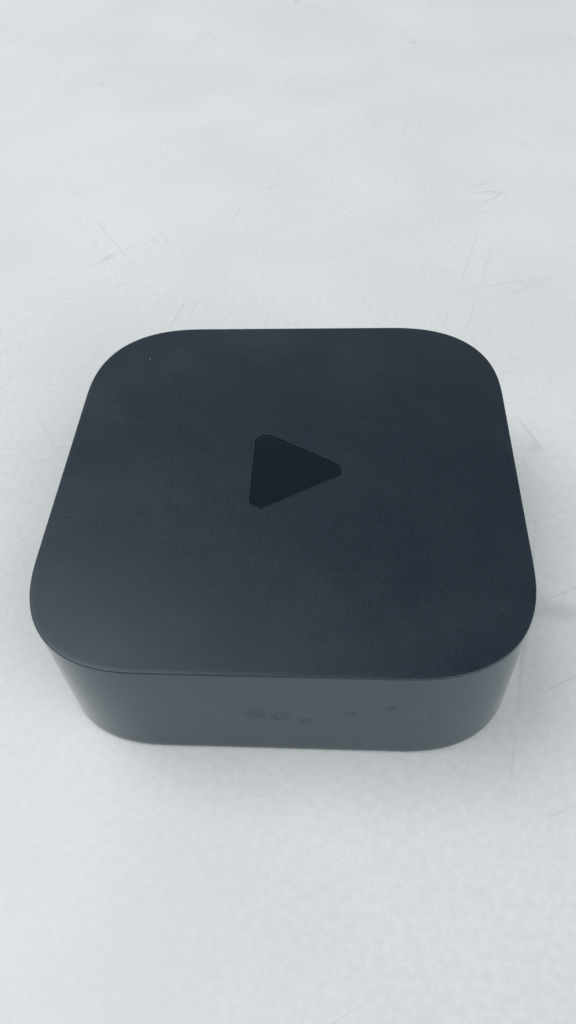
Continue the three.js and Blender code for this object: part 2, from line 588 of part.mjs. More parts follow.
// A cast plate on four posts, with straight fins above and a raised pad over the processor below.
function heatSink() {
  const plate = solid(upward(boxOutline(HEAT_SINK.inset), HEAT_SINK.plate).translate(0, 0, SINK_Z));
  const edgeY = DEPTH / 2 - HEAT_SINK.inset;
  const { from, to, depth } = ANTENNA_NOTCH;
  const notchY = -edgeY + (depth - OVERCUT) / 2;
  const notches = [-1, 1].map((side) =>
    block(to - from, depth + OVERCUT, HEIGHT).translate((side * (to + from)) / 2, notchY, 0),
  );
  const foot = LOGIC_TOP + SEAT_GAP;
  const length = SINK_Z - foot + ROOT;
  const posts = SPACER_PLACES.map(([x, y]) => post(HEAT_SINK.post, length).translate(x, y, foot));
  const padTop = foot + PROCESSOR.size[2] + SEAT_GAP + THERMAL_PAD + SEAT_GAP;
  const island = block(HEAT_SINK.island, HEAT_SINK.island, SINK_Z - padTop + ROOT);
  island.translate(PROCESSOR.x, PROCESSOR.y, padTop);
  const body = [...posts, island].map(solid).reduce((whole, part) => whole.add(part), cut(plate, ...notches));
  const screwHoles = SPACER_PLACES.map(([x, y]) => post(HOLE_RADIUS, HEIGHT).translate(x, y, LOGIC_TOP));
  const finned = fins().reduce((whole, fin) => whole.add(fin), body);
  return piece("heat_sink", cut(finned, ...screwHoles), FINISH.aluminium);
}

// Straight fins along Y. Each stops short of the plate's edge, the antenna notches and the screw heads.
function fins() {
  const edgeX = WIDTH / 2 - HEAT_SINK.inset;
  const edgeY = DEPTH / 2 - HEAT_SINK.inset;
  const perSide = Math.floor((edgeX - FIN.end) / FIN.pitch);
  const made = [];
  for (let index = -perSide; index <= perSide; index++) {
    const x = index * FIN.pitch;
    const outermost = Math.abs(x) + FIN.thickness / 2;
    let rear = wallY(outermost, HEAT_SINK.inset) - FIN.end;
    let front = -rear;
    const inNotch = outermost > ANTENNA_NOTCH.from && Math.abs(x) - FIN.thickness / 2 < ANTENNA_NOTCH.to;
    if (inNotch) front = Math.max(front, -edgeY + ANTENNA_NOTCH.depth + FIN.thickness);
    if (Math.abs(Math.abs(x) - SPACER_X) < FIN.screwClear) {
      rear = Math.min(rear, SPACER_Y - FIN.screwClear);
      front = Math.max(front, -SPACER_Y + FIN.screwClear);
    }
    const fin = block(FIN.thickness, rear - front, FIN_TOP - SINK_TOP + ROOT);
    made.push(solid(fin.translate(x, (rear + front) / 2, SINK_TOP - ROOT)));
  }
  return made;
}

function thermalPad() {
  const [width, length, height] = PROCESSOR.size;
  const z = LOGIC_TOP + SEAT_GAP + height + SEAT_GAP;
  return piece("thermal_pad", block(width, length, THERMAL_PAD), FINISH.pad, [PROCESSOR.x, PROCESSOR.y, z]);
}

// ------------------------------------------------------------ power supply parts

// An electrolytic capacitor's can, with the groove that crimps its rubber bung.
function canister(radius, length) {
  const { groove, grooveAt, edge } = CAN;
  return turned([
    [0, 0],
    [radius - edge, 0],
    [radius, edge],
    [radius, grooveAt - groove],
    [radius - groove, grooveAt],
    [radius, grooveAt + groove],
    [radius, length - edge],
    [radius - edge, length],
    [0, length],
  ]);
}

// It lies on its side along Y.
function bulkCapacitor() {
  const { radius, length, edge, y } = BULK_CAPACITOR;
  const place = [BOARD_X - edge, y - length / 2, POWER_TOP + FIT_GAP + radius];
  return piece("bulk_capacitor", canister(radius, length).rotateX(-Math.PI / 2), FINISH.can, place);
}

function outputCapacitor(y, number) {
  const { radius, height, x } = OUTPUT_CAPACITOR;
  const place = [x, y, POWER_TOP + SEAT_GAP];
  return piece(`output_capacitor_${number}`, canister(radius, height), FINISH.can, place);
}

// A ferrite frame with a centre leg along Y. Its two windows let the winding through.
function transformerCore() {
  const { x, y, width, length, thickness, leg, bar } = TRANSFORMER;
  const windowWidth = (width - 2 * bar - leg) / 2;
  const windows = [-1, 1].map((side) =>
    block(windowWidth, length - 2 * bar, thickness + 2).translate((side * (leg + windowWidth)) / 2, 0, -1),
  );
  const frame = cut(solid(block(width, length, thickness)), ...windows);
  return piece("transformer_core", frame, FINISH.ferrite, [x, y, transformerMiddle() - thickness / 2]);
}

// The taped winding round the core's centre leg.
function transformerWinding() {
  const { x, y, width, length, thickness, leg, bar, height } = TRANSFORMER;
  const outline = rectangle(width - 2 * bar - 2 * FIT_GAP, height);
  outline.holes.push(rectangle(leg + 2 * FIT_GAP, thickness + 2 * FIT_GAP));
  const depth = length - 2 * bar - 2 * FIT_GAP;
  const place = [x, y + depth / 2, transformerMiddle()];
  return piece("transformer_winding", inward(outline, depth), FINISH.winding, place);
}

const transformerMiddle = () => POWER_TOP + SEAT_GAP + TRANSFORMER.height / 2;

function lineChoke() {
  const { x, y, radius, hole, height, lift, steps } = CHOKE;
  const ringed = cut(solid(post(radius, height, steps)), post(hole, height + 2, steps).translate(0, 0, -1));
  return piece("line_choke", ringed, FINISH.copper, [x, y, POWER_TOP + lift]);
}

function outputInductor() {
  const { x, y, radius, height, neck, flange } = OUTPUT_INDUCTOR;
  const drum = turned([
    [0, 0],
    [radius, 0],
    [radius, flange],
    [neck, flange],
    [neck, height - flange],
    [radius, height - flange],
    [radius, height],
    [0, height],
  ]);
  return piece("output_inductor", drum, FINISH.ferrite, [x, y, POWER_TOP + SEAT_GAP]);
}

// A round disc that stands on edge, facing along Y.
function safetyCapacitor() {
  const { x, y, radius, faceRadius, thickness, lift } = SAFETY_CAPACITOR;
  const profile = [[0, 0], [faceRadius, 0], [radius, thickness / 2], [faceRadius, thickness], [0, thickness]];
  const disc = turned(profile).rotateX(-Math.PI / 2);
  return piece("safety_capacitor", disc, FINISH.disc, [x, y - thickness / 2, POWER_TOP + lift + radius]);
}

// The board-to-board link that carries the supply up to the logic board: a socket below and a plug above.
function powerLink() {
  const { x, y, width, length, plugShare, plugInset } = POWER_LINK;
  const foot = POWER_TOP + SEAT_GAP;
  const span = LOGIC_Z - SEAT_GAP - foot;
  const plug = span * plugShare;
  const socket = span - plug - SEAT_GAP;
  const plugBody = block(width - 2 * plugInset, length - 2 * plugInset, plug);
  return [
    piece("power_link_socket", block(width, length, socket), FINISH.blackPlastic, [x, y, foot]),
    piece("power_link_plug", plugBody, FINISH.blackPlastic, [x, y, foot + span - plug]),
  ];
}

// ------------------------------------------------------------ logic parts

// Equal packaged parts in a row along Y, numbered from the front.
const rowOf = (name, part, material) =>
  part.y.map((y, index) => packaged(`${name}_${index + 1}`, { ...part, y }, material, LOGIC_TOP));

function networkMagnetics() {
  const z = LOGIC_Z - SEAT_GAP - MAGNETICS.size[2];
  return piece("network_magnetics", block(...MAGNETICS.size), FINISH.chip, [ETHERNET_X, MAGNETICS.y, z]);
}

// A sensor can under the logic board's front edge, with a domed lens that looks out through the front wall.
function infraredReceiver() {
  const [width, depth, height] = RECEIVER.size;
  const { radius, tipRadius, height: lensHeight, sunk } = RECEIVER_LENS;
  const lens = new THREE.CylinderGeometry(tipRadius, radius, lensHeight, ROUND_STEPS).rotateX(Math.PI);
  lens.translate(0, sunk - (depth + lensHeight) / 2, height / 2);
  const body = join(block(width, depth, height), lens);
  const y = -BOARD_Y + RECEIVER.edge + depth / 2;
  return piece("infrared_receiver", body, FINISH.lens, [RECEIVER.x, y, LOGIC_Z - SEAT_GAP - height]);
}

function statusLed() {
  const [, depth, height] = LED.size;
  const y = FRONT_BOARD_Y + LED.edge + depth / 2;
  return piece("status_led", block(...LED.size), FINISH.lens, [LIGHT_PIPE.x, y, LED_Z - height / 2]);
}

// A folded sheet-metal aerial: a plate on a back wall, with two legs that are soldered to the board.
function antenna(name, side) {
  const { width, depth, height, sheet, edge } = ANTENNA;
  const { width: legWidth, height: legHeight, places } = ANTENNA_LEG;
  const wallAtY = (depth - sheet) / 2;
  const back = block(width, sheet, height - legHeight).translate(0, wallAtY, legHeight);
  const top = block(width, depth, sheet).translate(0, 0, height - sheet);
  const legs = places.map((share) =>
    block(legWidth, sheet, legHeight + ROOT).translate((share * (width - legWidth)) / 2, wallAtY, 0),
  );
  const x = (side * (ANTENNA_NOTCH.to + ANTENNA_NOTCH.from)) / 2;
  const y = -BOARD_Y + edge + depth / 2;
  return piece(name, join(back, top, ...legs), FINISH.steel, [x, y, LOGIC_TOP + SEAT_GAP]);
}

// A thin coaxial lead that lies on the logic board, from the radio's can to the back of an aerial.
// It leaves the can along -Y and turns to run along X.
function antennaCable(name, { from, to }) {
  const { radius, step, turn } = COAX;
  const startY = WIRELESS.y - WIRELESS.size[1] / 2 - 2 * radius;
  const endY = -BOARD_Y + ANTENNA.edge + ANTENNA.depth + 3 * radius;
  const z = LOGIC_TOP + FIT_GAP + radius;
  const bend = COAX_TURN.map(([shareX, shareY]) => [from + turn * shareX, startY + (endY - startY) * shareY]);
  const route = [...bend, [to, endY]].map(([x, y]) => new THREE.Vector3(x, y, z));
  const path = new THREE.CatmullRomCurve3(route);
  const section = new THREE.Shape();
  section.absarc(0, 0, radius, 0, 2 * Math.PI, false);
  const steps = Math.ceil(path.getLength() / step);
  const sweep = { steps, extrudePath: path, curveSegments: COAX.sides / 2 };
  const tube = new THREE.ExtrudeGeometry(section, sweep);
  return piece(name, tube, FINISH.cable);
}

// ------------------------------------------------------------ assembly

// What lifts off together: the shell and what is fixed in it.
const shellGroup = new THREE.Group();
shellGroup.add(housingShell(), topMark(), lightPipe(), roofHeatSpreader());

// What stays on the table: the tray, the foot and the sheets.
const trayGroup = new THREE.Group();
trayGroup.add(baseTray(), rubberFoot(), lowerInsulator(), upperInsulator());

const powerGroup = new THREE.Group();
powerGroup.add(
  powerBoard(),
  bulkCapacitor(),
  ...OUTPUT_CAPACITOR.y.map((y, i) => outputCapacitor(y, i + 1)),
  transformerCore(),
  transformerWinding(),
  lineChoke(),
  outputInductor(),
  safetyCapacitor(),
  packaged("filter_capacitor", FILTER_CAPACITOR, FINISH.filmCase, POWER_TOP),
  packaged("mains_fuse", FUSE, FINISH.blackPlastic, POWER_TOP),
  packaged("bridge_rectifier", RECTIFIER, FINISH.chip, POWER_TOP),
  packaged("switch_transistor", SWITCH_TRANSISTOR, FINISH.chip, POWER_TOP),
  packaged("optocoupler", OPTOCOUPLER, FINISH.blackPlastic, POWER_TOP),
  ...powerLink(),
);

const logicGroup = new THREE.Group();
logicGroup.add(
  logicBoard(),
  packaged("processor", PROCESSOR, FINISH.chip, LOGIC_TOP),
  thermalPad(),
  ...rowOf("memory_chip", MEMORY, FINISH.chip),
  packaged("flash_chip", FLASH, FINISH.chip, LOGIC_TOP),
  packaged("power_management_chip", POWER_CHIP, FINISH.chip, LOGIC_TOP),
  ...rowOf("core_inductor", CORE_INDUCTOR, FINISH.ferrite),
  packaged("wireless_shield", WIRELESS, FINISH.steel, LOGIC_TOP),
  networkMagnetics(),
  infraredReceiver(),
  statusLed(),
  antenna("antenna_left", -1),
  antenna("antenna_right", 1),
  antennaCable("antenna_cable_left", LEADS.left),
  antennaCable("antenna_cable_right", LEADS.right),
);

const socketGroup = new THREE.Group();
socketGroup.add(
  mainsInlet(),
  mainsPin("inlet_pin_left", -1),
  mainsPin("inlet_pin_right", 1),
  videoSocket(),
  videoTongue(),
  networkHousing(),
  networkShield(),
  networkContacts(),
);

const clampGroup = new THREE.Group();
clampGroup.add(heatSink(), ...SPACER_PLACES.map((place, i) => spacer(place, i + 1)));
clampGroup.add(...SPACER_PLACES.map((place, i) => stackScrew(place, i + 1)));

const player = new THREE.Group();
player.add(shellGroup, trayGroup, powerGroup, logicGroup, socketGroup, clampGroup);

export default player;
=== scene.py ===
"""Looks of a small fanless streaming media player.

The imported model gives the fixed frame. Each class here makes one sub-assembly's detailed pieces inside
the room that the frame's nodes take, and dresses them. Lengths in the classes are in millimetres.
"""

import logging
import math
from collections.abc import Callable, Sequence
from dataclasses import dataclass, field
from enum import Enum

import bmesh
import bpy
import numpy as np
from mathutils import Matrix, Vector


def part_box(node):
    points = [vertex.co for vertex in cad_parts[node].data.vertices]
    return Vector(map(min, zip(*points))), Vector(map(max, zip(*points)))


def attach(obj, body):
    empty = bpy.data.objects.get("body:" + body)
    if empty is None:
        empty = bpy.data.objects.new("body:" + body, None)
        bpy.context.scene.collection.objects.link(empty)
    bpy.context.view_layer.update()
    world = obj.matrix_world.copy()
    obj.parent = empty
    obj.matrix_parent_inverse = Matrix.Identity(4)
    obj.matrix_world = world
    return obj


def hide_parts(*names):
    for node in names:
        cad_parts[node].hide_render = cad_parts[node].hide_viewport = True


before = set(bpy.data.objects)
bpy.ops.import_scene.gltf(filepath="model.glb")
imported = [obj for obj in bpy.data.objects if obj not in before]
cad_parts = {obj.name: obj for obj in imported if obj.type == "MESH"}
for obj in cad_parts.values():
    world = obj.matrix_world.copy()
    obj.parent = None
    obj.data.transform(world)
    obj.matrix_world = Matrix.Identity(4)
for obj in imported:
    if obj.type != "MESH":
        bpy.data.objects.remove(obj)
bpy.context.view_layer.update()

MM = 0.001
WELD = 2e-4  # points closer than this many millimetres are one
BASE = "base"
SHELL = "shell"
HALF_TURN = math.pi
QUARTER_TURN = math.pi / 2
# Heights and places that several classes share, in millimetres.
POWER_TOP = 6.4  # the power supply board's upper face
LOGIC_TOP = 18.75  # the logic board's upper face
SOCKET_MIDDLE = 14.5
CLAMP = 34.0  # how far the clamping points are from both middle lines
log = logging.getLogger("player")

Grid = np.ndarray  # (rows, columns, 3) points, in millimetres
Ring = np.ndarray  # (n, 2) points in plan, in millimetres
Triple = tuple[float, float, float]
Colour = Triple
Socket = bpy.types.NodeSocket
Material = bpy.types.Material
Rise = Sequence[tuple[float, float]]  # (inset, height) pairs from the bottom up


class Axis(Enum):
    """The direction that a turned or lofted piece's height runs along."""

    X = "x"
    Y = "y"
    Z = "z"


class Side(Enum):
    """A long wall of the box."""

    REAR = 1.0
    FRONT = -1.0


# ---------------------------------------------------------------- materials


class Recipe:
    """One node material while it is being put together."""

    def __init__(self, name: str) -> None:
        """Starts a material.

        Args:
            name: The material's name.
        """
        self.material = bpy.data.materials.new(name)
        self.material.use_nodes = True
        self.tree = self.material.node_tree
        self.shader = self.tree.nodes["Principled BSDF"]
        self.place = self.node("ShaderNodeTexCoord").outputs["Object"]

    def node(self, kind: str, **settings: object) -> bpy.types.Node:
        """Adds a node and sets its properties.

        Args:
            kind: The node's type.
            settings: Its properties.

        Returns:
            The node.
        """
        made = self.tree.nodes.new(kind)
        for key, value in settings.items():
            setattr(made, key, value)
        return made

    def feed(self, socket: Socket, value: object) -> None:
        """Links a socket to another, or sets its number or colour.

        Args:
            socket: The input.
            value: A socket, a number or a colour.
        """
        if isinstance(value, Socket):
            self.tree.links.new(value, socket)
        else:
            socket.default_value = value

    def set(self, **values: object) -> None:
        """Feeds the shader's sockets, named with _ for a space.

        Args:
            values: The value of each socket.
        """
        for key, value in values.items():
            self.feed(self.shader.inputs[key.replace("_", " ")], value)

    def stretched(self, stretch: Triple, turn: float = 0.0) -> Socket:
        """Object coordinates, turned about Z and then multiplied along each axis.

        Args:
            stretch: How much finer the pattern is along each axis.
            turn: The axes' turn, in radians.

        Returns:
            The coordinates' socket.
        """
        mapping = self.node("ShaderNodeMapping", vector_type="TEXTURE")
        self.feed(mapping.inputs["Vector"], self.place)
        mapping.inputs["Rotation"].default_value = (0.0, 0.0, turn)
        mapping.inputs["Scale"].default_value = tuple(1 / share for share in stretch)
        return mapping.outputs["Vector"]

    def noise(
        self,
        size: float,
        detail: float = 2.0,
        rough: float = 0.5,
        stretch: Triple = (1, 1, 1),
        turn: float = 0.0,
    ) -> Socket:
        """Soft noise from 0 to 1.

        Args:
            size: The width of its blotches in millimetres.
            detail: How many finer layers it has.
            rough: The strength of the finer layers.
            stretch: How much finer it is along each axis.
            turn: The turn of those axes about Z, in radians.

        Returns:
            The noise's value socket.
        """
        made = self.node("ShaderNodeTexNoise")
        self.feed(made.inputs["Vector"], self.stretched(stretch, turn))
        made.inputs["Scale"].default_value = 1 / (size * MM)
        made.inputs["Detail"].default_value = detail
        made.inputs["Roughness"].default_value = rough
        return made.outputs["Fac"]

    def cells(self, size: float, feature: str = "F1") -> Socket:
        """Distance to the nearest of many scattered points, in units of their spacing.

        Args:
            size: The points' spacing in millimetres.
            feature: Which distance is given.

        Returns:
            The distance's socket.
        """
        made = self.node("ShaderNodeTexVoronoi", feature=feature)
        self.feed(made.inputs["Vector"], self.place)
        made.inputs["Scale"].default_value = 1 / (size * MM)
        return made.outputs["Distance"]

    def math(self, operation: str, a: object, b: object = 0.0, clamp: bool = False) -> Socket:
        """One Math node on two sockets or numbers.

        Args:
            operation: What the node does.
            a: Its first value.
            b: Its second value.
            clamp: Whether the result is held between 0 and 1.

        Returns:
            The result's socket.
        """
        made = self.node("ShaderNodeMath", operation=operation, use_clamp=clamp)
        self.feed(made.inputs[0], a)
        self.feed(made.inputs[1], b)
        return made.outputs[0]

    def times(self, a: object, b: object) -> Socket:
        """The product of two sockets or numbers."""
        return self.math("MULTIPLY", a, b)

    def plus(self, a: object, b: object) -> Socket:
        """The sum of two sockets or numbers."""
        return self.math("ADD", a, b)

    def minus(self, a: object, b: object) -> Socket:
        """The difference of two sockets or numbers."""
        return self.math("SUBTRACT", a, b)

    def span(
        self, value: Socket, low: float, high: float, to_low: float = 0.0, to_high: float = 1.0
    ) -> Socket:
        """Maps a value smoothly from one span to another and holds it at the ends.

        Args:
            value: What is mapped.
            low: The first span's start.
            high: Its end.
            to_low: The second span's start.
            to_high: Its end.

        Returns:
            The result's socket.
        """
        made = self.node("ShaderNodeMapRange", interpolation_type="SMOOTHSTEP")
        self.feed(made.inputs["Value"], value)
        for key, number in (("From Min", low), ("From Max", high), ("To Min", to_low), ("To Max", to_high)):
            made.inputs[key].default_value = number
        return made.outputs["Result"]

    def blend(self, share: Socket, first: object, second: object) -> Socket:
        """Mixes two colours or colour sockets by a share from 0 to 1.

        Args:
            share: How much of the second colour there is.
            first: The first colour.
            second: The second colour.

        Returns:
            The mixed colour's socket.
        """
        made = self.node("ShaderNodeMix", data_type="RGBA")
        self.feed(made.inputs[0], share)
        for index, value in ((6, first), (7, second)):
            self.feed(made.inputs[index], (*value, 1.0) if isinstance(value, tuple) else value)
        return made.outputs[2]

    def bump(self, height: Socket, depth: float, strength: float = 1.0) -> None:
        """Adds relief to the surface.

        Args:
            height: The relief's shape, from 0 to 1.
            depth: Its depth in millimetres.
            strength: Its share of the full effect.
        """
        made = self.node("ShaderNodeBump")
        made.inputs["Strength"].default_value = strength
        made.inputs["Distance"].default_value = depth * MM
        self.feed(made.inputs["Height"], height)
        if self.shader.inputs["Normal"].links:
            self.feed(made.inputs["Normal"], self.shader.inputs["Normal"].links[0].from_socket)
        self.feed(self.shader.inputs["Normal"], made.outputs["Normal"])

    def axis(self, name: str) -> Socket:
        """One object coordinate, in metres.

        Args:
            name: X, Y or Z.

        Returns:
            Its socket.
        """
        made = self.node("ShaderNodeSeparateXYZ")
        self.feed(made.inputs[0], self.place)
        return made.outputs[name]


def shade(colour: Colour, share: float) -> Colour:
    """A colour made lighter or darker by a share, up to white."""
    return tuple(min(1.0, part * share) for part in colour)


@dataclass(frozen=True)
class Look:
    """What every finish has: a name, a colour and a recipe of nodes."""

    name: str
    colour: Colour

    def make(self) -> Material:
        """Builds the material.

        Returns:
            The material, with the nodes that the finish lays out.
        """
        r = Recipe(self.name)
        self.lay(r)
        return r.material

    def lay(self, r: Recipe) -> None:
        """Lays out the nodes; each finish has its own way."""
        raise NotImplementedError(self.name)


@dataclass(frozen=True)
class Moulded(Look):
    """Moulded plastic with a spark-eroded skin, or rubber: fine relief, slight blotches and dust."""

    rough: float = 0.5
    grain: float = 0.25  # width of the skin's relief, in millimetres
    depth: float = 0.02
    blotch: float = 0.15  # share of light and dark
    dust: float = 0.0

    def lay(self, r: Recipe) -> None:
        """Lays out the nodes.

        Args:
            r: The recipe that they go into.
        """
        dark = shade(self.colour, 1 - self.blotch)
        light = shade(self.colour, 1 + self.blotch)
        colour = r.blend(r.span(r.noise(14, 4, 0.6), 0.3, 0.7), dark, light)
        if self.dust:
            speck = r.span(r.cells(5.5), 0.035, 0.05, self.dust, 0.0)
            colour = r.blend(speck, colour, (0.30, 0.31, 0.32))
        r.set(Base_Color=colour)
        fine = r.noise(self.grain, 3, 0.6)
        r.set(Roughness=r.span(r.noise(9, 3, 0.6), 0.25, 0.75, self.rough * 0.92, self.rough * 1.1))
        r.bump(fine, self.depth)


@dataclass(frozen=True)
class MattTop(Look):
    """The cover's matt top: a fine satin skin with a soft sheen, partly painted in as lighter bluish clouds,
    rubbed patches and a few specks of dust.
    """

    rough: float

    def lay(self, r: Recipe) -> None:
        """Lays out the nodes.

        Args:
            r: The recipe that they go into.
        """
        grain = r.noise(0.4, 3, 0.7)
        cloud = r.noise(26, 3, 0.55)
        dark = shade(self.colour, 0.84)
        light = shade(self.colour, 1.17)
        colour = r.blend(r.span(grain, 0.3, 0.7), dark, light)
        # lighter bluish clouds: a painted sheen
        painted_sheen = r.times(r.span(cloud, 0.45, 0.75), 0.08)
        colour = r.blend(painted_sheen, colour, (0.09, 0.105, 0.125))
        lint = r.times(r.span(r.cells(9.5), 0.012, 0.02, 1.0, 0.0), r.span(r.noise(30), 0.5, 0.56))
        colour = r.blend(lint, colour, (0.36, 0.37, 0.38))
        r.set(Base_Color=colour)
        rubbed = r.span(r.noise(18, 4, 0.6), 0.35, 0.7, self.rough, self.rough * 1.12)
        r.set(Roughness=r.plus(rubbed, r.span(grain, 0.3, 0.7, -0.045, 0.045)))
        r.set(Specular_IOR_Level=0.8, Specular_Tint=(0.78, 0.9, 1.0, 1.0))
        r.bump(grain, 0.02, 0.55)
        r.bump(r.noise(1.1, 2, 0.5), 0.015, 0.35)


@dataclass(frozen=True)
class GlossWall(Look):
    """The cover's polished wall: near-black gloss with finger marks, painted darker where they dull the
    wall's reflection, hairline scratches and fine dust.
    """

    rough: float
    finger_marks: tuple[Triple, ...]  # x, z and radius on the front, in millimetres

    def lay(self, r: Recipe) -> None:
        """Lays out the nodes.

        Args:
            r: The recipe that they go into.
        """
        smear = r.span(r.noise(9, 5, 0.65, (1, 1, 1.6)), 0.52, 0.8)
        marks = self._marks(r)
        hair = r.span(r.noise(0.5, 1, 0.5, (0.05, 0.05, 6.0)), 0.68, 0.76)
        dust = r.span(r.cells(2.6), 0.03, 0.05, 1.0, 0.0)
        dust = r.times(dust, r.span(r.noise(11, 2, 0.5), 0.5, 0.64))
        veil = r.blend(r.times(smear, 0.10), self.colour, (0.16, 0.18, 0.20))
        # finger marks painted near-black: real marks, and their darkness is painted shade where they dull the
        # reflection
        marks_painted_dark = r.blend(r.times(marks, 0.88), veil, (0.004, 0.009, 0.015))
        r.set(Base_Color=r.blend(r.times(dust, 0.5), marks_painted_dark, (0.34, 0.36, 0.38)))
        soiled = r.math("ADD", r.times(smear, 0.4), marks, clamp=True)
        rough = r.plus(r.times(soiled, 0.06), self.rough)
        rough = r.plus(rough, r.times(hair, 0.08))
        r.set(Roughness=r.plus(rough, r.times(dust, 0.3)))
        r.set(Specular_IOR_Level=0.42, Specular_Tint=(0.80, 0.93, 1.0, 1.0))
        r.bump(r.noise(24, 1, 0.4), 0.012, 0.2)
        r.bump(hair, 0.002, 0.4)

    def _marks(self, r: Recipe) -> Socket:
        """Soft round marks at the given places, broken up by noise.

        Args:
            r: The recipe that they go into.

        Returns:
            How soiled the wall is, from 0 to 1.
        """
        x, z = r.axis("X"), r.axis("Z")
        total: Socket | float = 0.0
        for mark_x, mark_z, radius in self.finger_marks:
            along = r.math("POWER", r.minus(x, mark_x * MM), 2.0)
            up = r.math("POWER", r.minus(z, mark_z * MM), 2.0)
            far = r.math("SQRT", r.plus(along, up))
            spot = r.span(far, radius * 0.3 * MM, radius * MM, 1.0, 0.0)
            total = r.math("MAXIMUM", spot, total)
        ridges = r.span(r.noise(1.5, 3, 0.55, (1.5, 1, 0.8)), 0.38, 0.66)
        front = r.span(r.axis("Y"), -0.046, -0.040, 1.0, 0.0)
        return r.times(r.times(total, ridges), front)


@dataclass(frozen=True)
class SignInlay(Look):
    """The sign's polished inlay: an even, dark gloss with faint hairlines and a trace of dust."""

    rough: float

    def lay(self, r: Recipe) -> None:
        """Lays out the nodes.

        Args:
            r: The recipe that they go into.
        """
        cloud = r.span(r.noise(6, 3, 0.5), 0.35, 0.7)
        speck = r.span(r.cells(3.1), 0.02, 0.035, 0.35, 0.0)
        colour = r.blend(cloud, self.colour, shade(self.colour, 1.25))
        r.set(Base_Color=r.blend(speck, colour, (0.2, 0.21, 0.22)))
        hair = r.span(r.noise(0.35, 2, 0.5, (0.08, 3.0, 1)), 0.6, 0.75)
        r.set(Roughness=r.span(cloud, 0.0, 1.0, self.rough, self.rough * 1.3))
        r.bump(hair, 0.0015, 0.5)


@dataclass(frozen=True)
class TableTop(Look):
    """A pale laminate: a fine mottled grain with faint, thin scuffs in three directions."""

    def lay(self, r: Recipe) -> None:
        """Lays out the nodes.

        Args:
            r: The recipe that they go into.
        """
        mottle = r.noise(1.6, 3, 0.6)
        cloud = r.noise(60, 3, 0.5)
        mixed = r.plus(r.span(mottle, 0.3, 0.7, -0.5, 0.5), r.span(cloud, 0.3, 0.7, -0.5, 0.5))
        dark, light = shade(self.colour, 0.945), shade(self.colour, 1.05)
        colour = r.blend(r.span(mixed, -1.0, 1.0), dark, light)
        for turn, patch in ((0.5, 47), (1.35, 39), (2.1, 55)):
            away = r.math("ABSOLUTE", r.minus(r.noise(12, 0, 0.0, (0.05, 1.0, 1.0), turn), 0.5))
            line = r.span(away, 0.0, 0.008, 0.34, 0.0)
            broken = r.times(line, r.span(r.noise(patch, 2, 0.5), 0.54, 0.64))
            colour = r.blend(broken, colour, (0.40, 0.41, 0.42))
        r.set(Base_Color=colour, Roughness=r.span(mottle, 0.3, 0.7, 0.42, 0.56))
        r.bump(mottle, 0.05, 0.6)


@dataclass(frozen=True)
class Metal(Look):
    """Bare or plated metal: drawn lines, tarnish and small scratches."""

    rough: float = 0.3
    lines: Triple = (1, 1, 1)  # how much finer the drawn lines are along each axis
    line_size: float = 0.6
    depth: float = 0.006
    tarnish: float = 0.25

    def lay(self, r: Recipe) -> None:
        """Lays out the nodes.

        Args:
            r: The recipe that they go into.
        """
        drawn = r.noise(self.line_size, 3, 0.6, self.lines)
        old = r.span(r.noise(6, 4, 0.6), 0.45, 0.75)
        dull = shade(self.colour, 1 - self.tarnish)
        colour = r.blend(old, self.colour, dull)
        r.set(Base_Color=colour, Metallic=1.0)
        r.set(Roughness=r.span(drawn, 0.2, 0.8, self.rough * 0.8, self.rough * 1.2))
        r.bump(drawn, self.depth)


@dataclass(frozen=True)
class CastMetal(Look):
    """Die-cast and blasted aluminium: a crisp grain with lighter, worn high spots."""

    rough: float = 0.48

    def lay(self, r: Recipe) -> None:
        """Lays out the nodes.

        Args:
            r: The recipe that they go into.
        """
        grain = r.noise(0.35, 4, 0.7)
        flow = r.span(r.noise(12, 4, 0.6, (1, 0.4, 1)), 0.35, 0.7)
        colour = r.blend(flow, self.colour, shade(self.colour, 0.78))
        colour = r.blend(r.span(grain, 0.55, 0.8, 0.0, 0.5), colour, shade(self.colour, 1.4))
        r.set(Base_Color=colour, Metallic=0.85)
        r.set(Roughness=r.span(grain, 0.25, 0.75, self.rough * 0.85, self.rough * 1.15))
        r.bump(grain, 0.03)
        r.bump(r.noise(3, 2, 0.5), 0.05, 0.4)


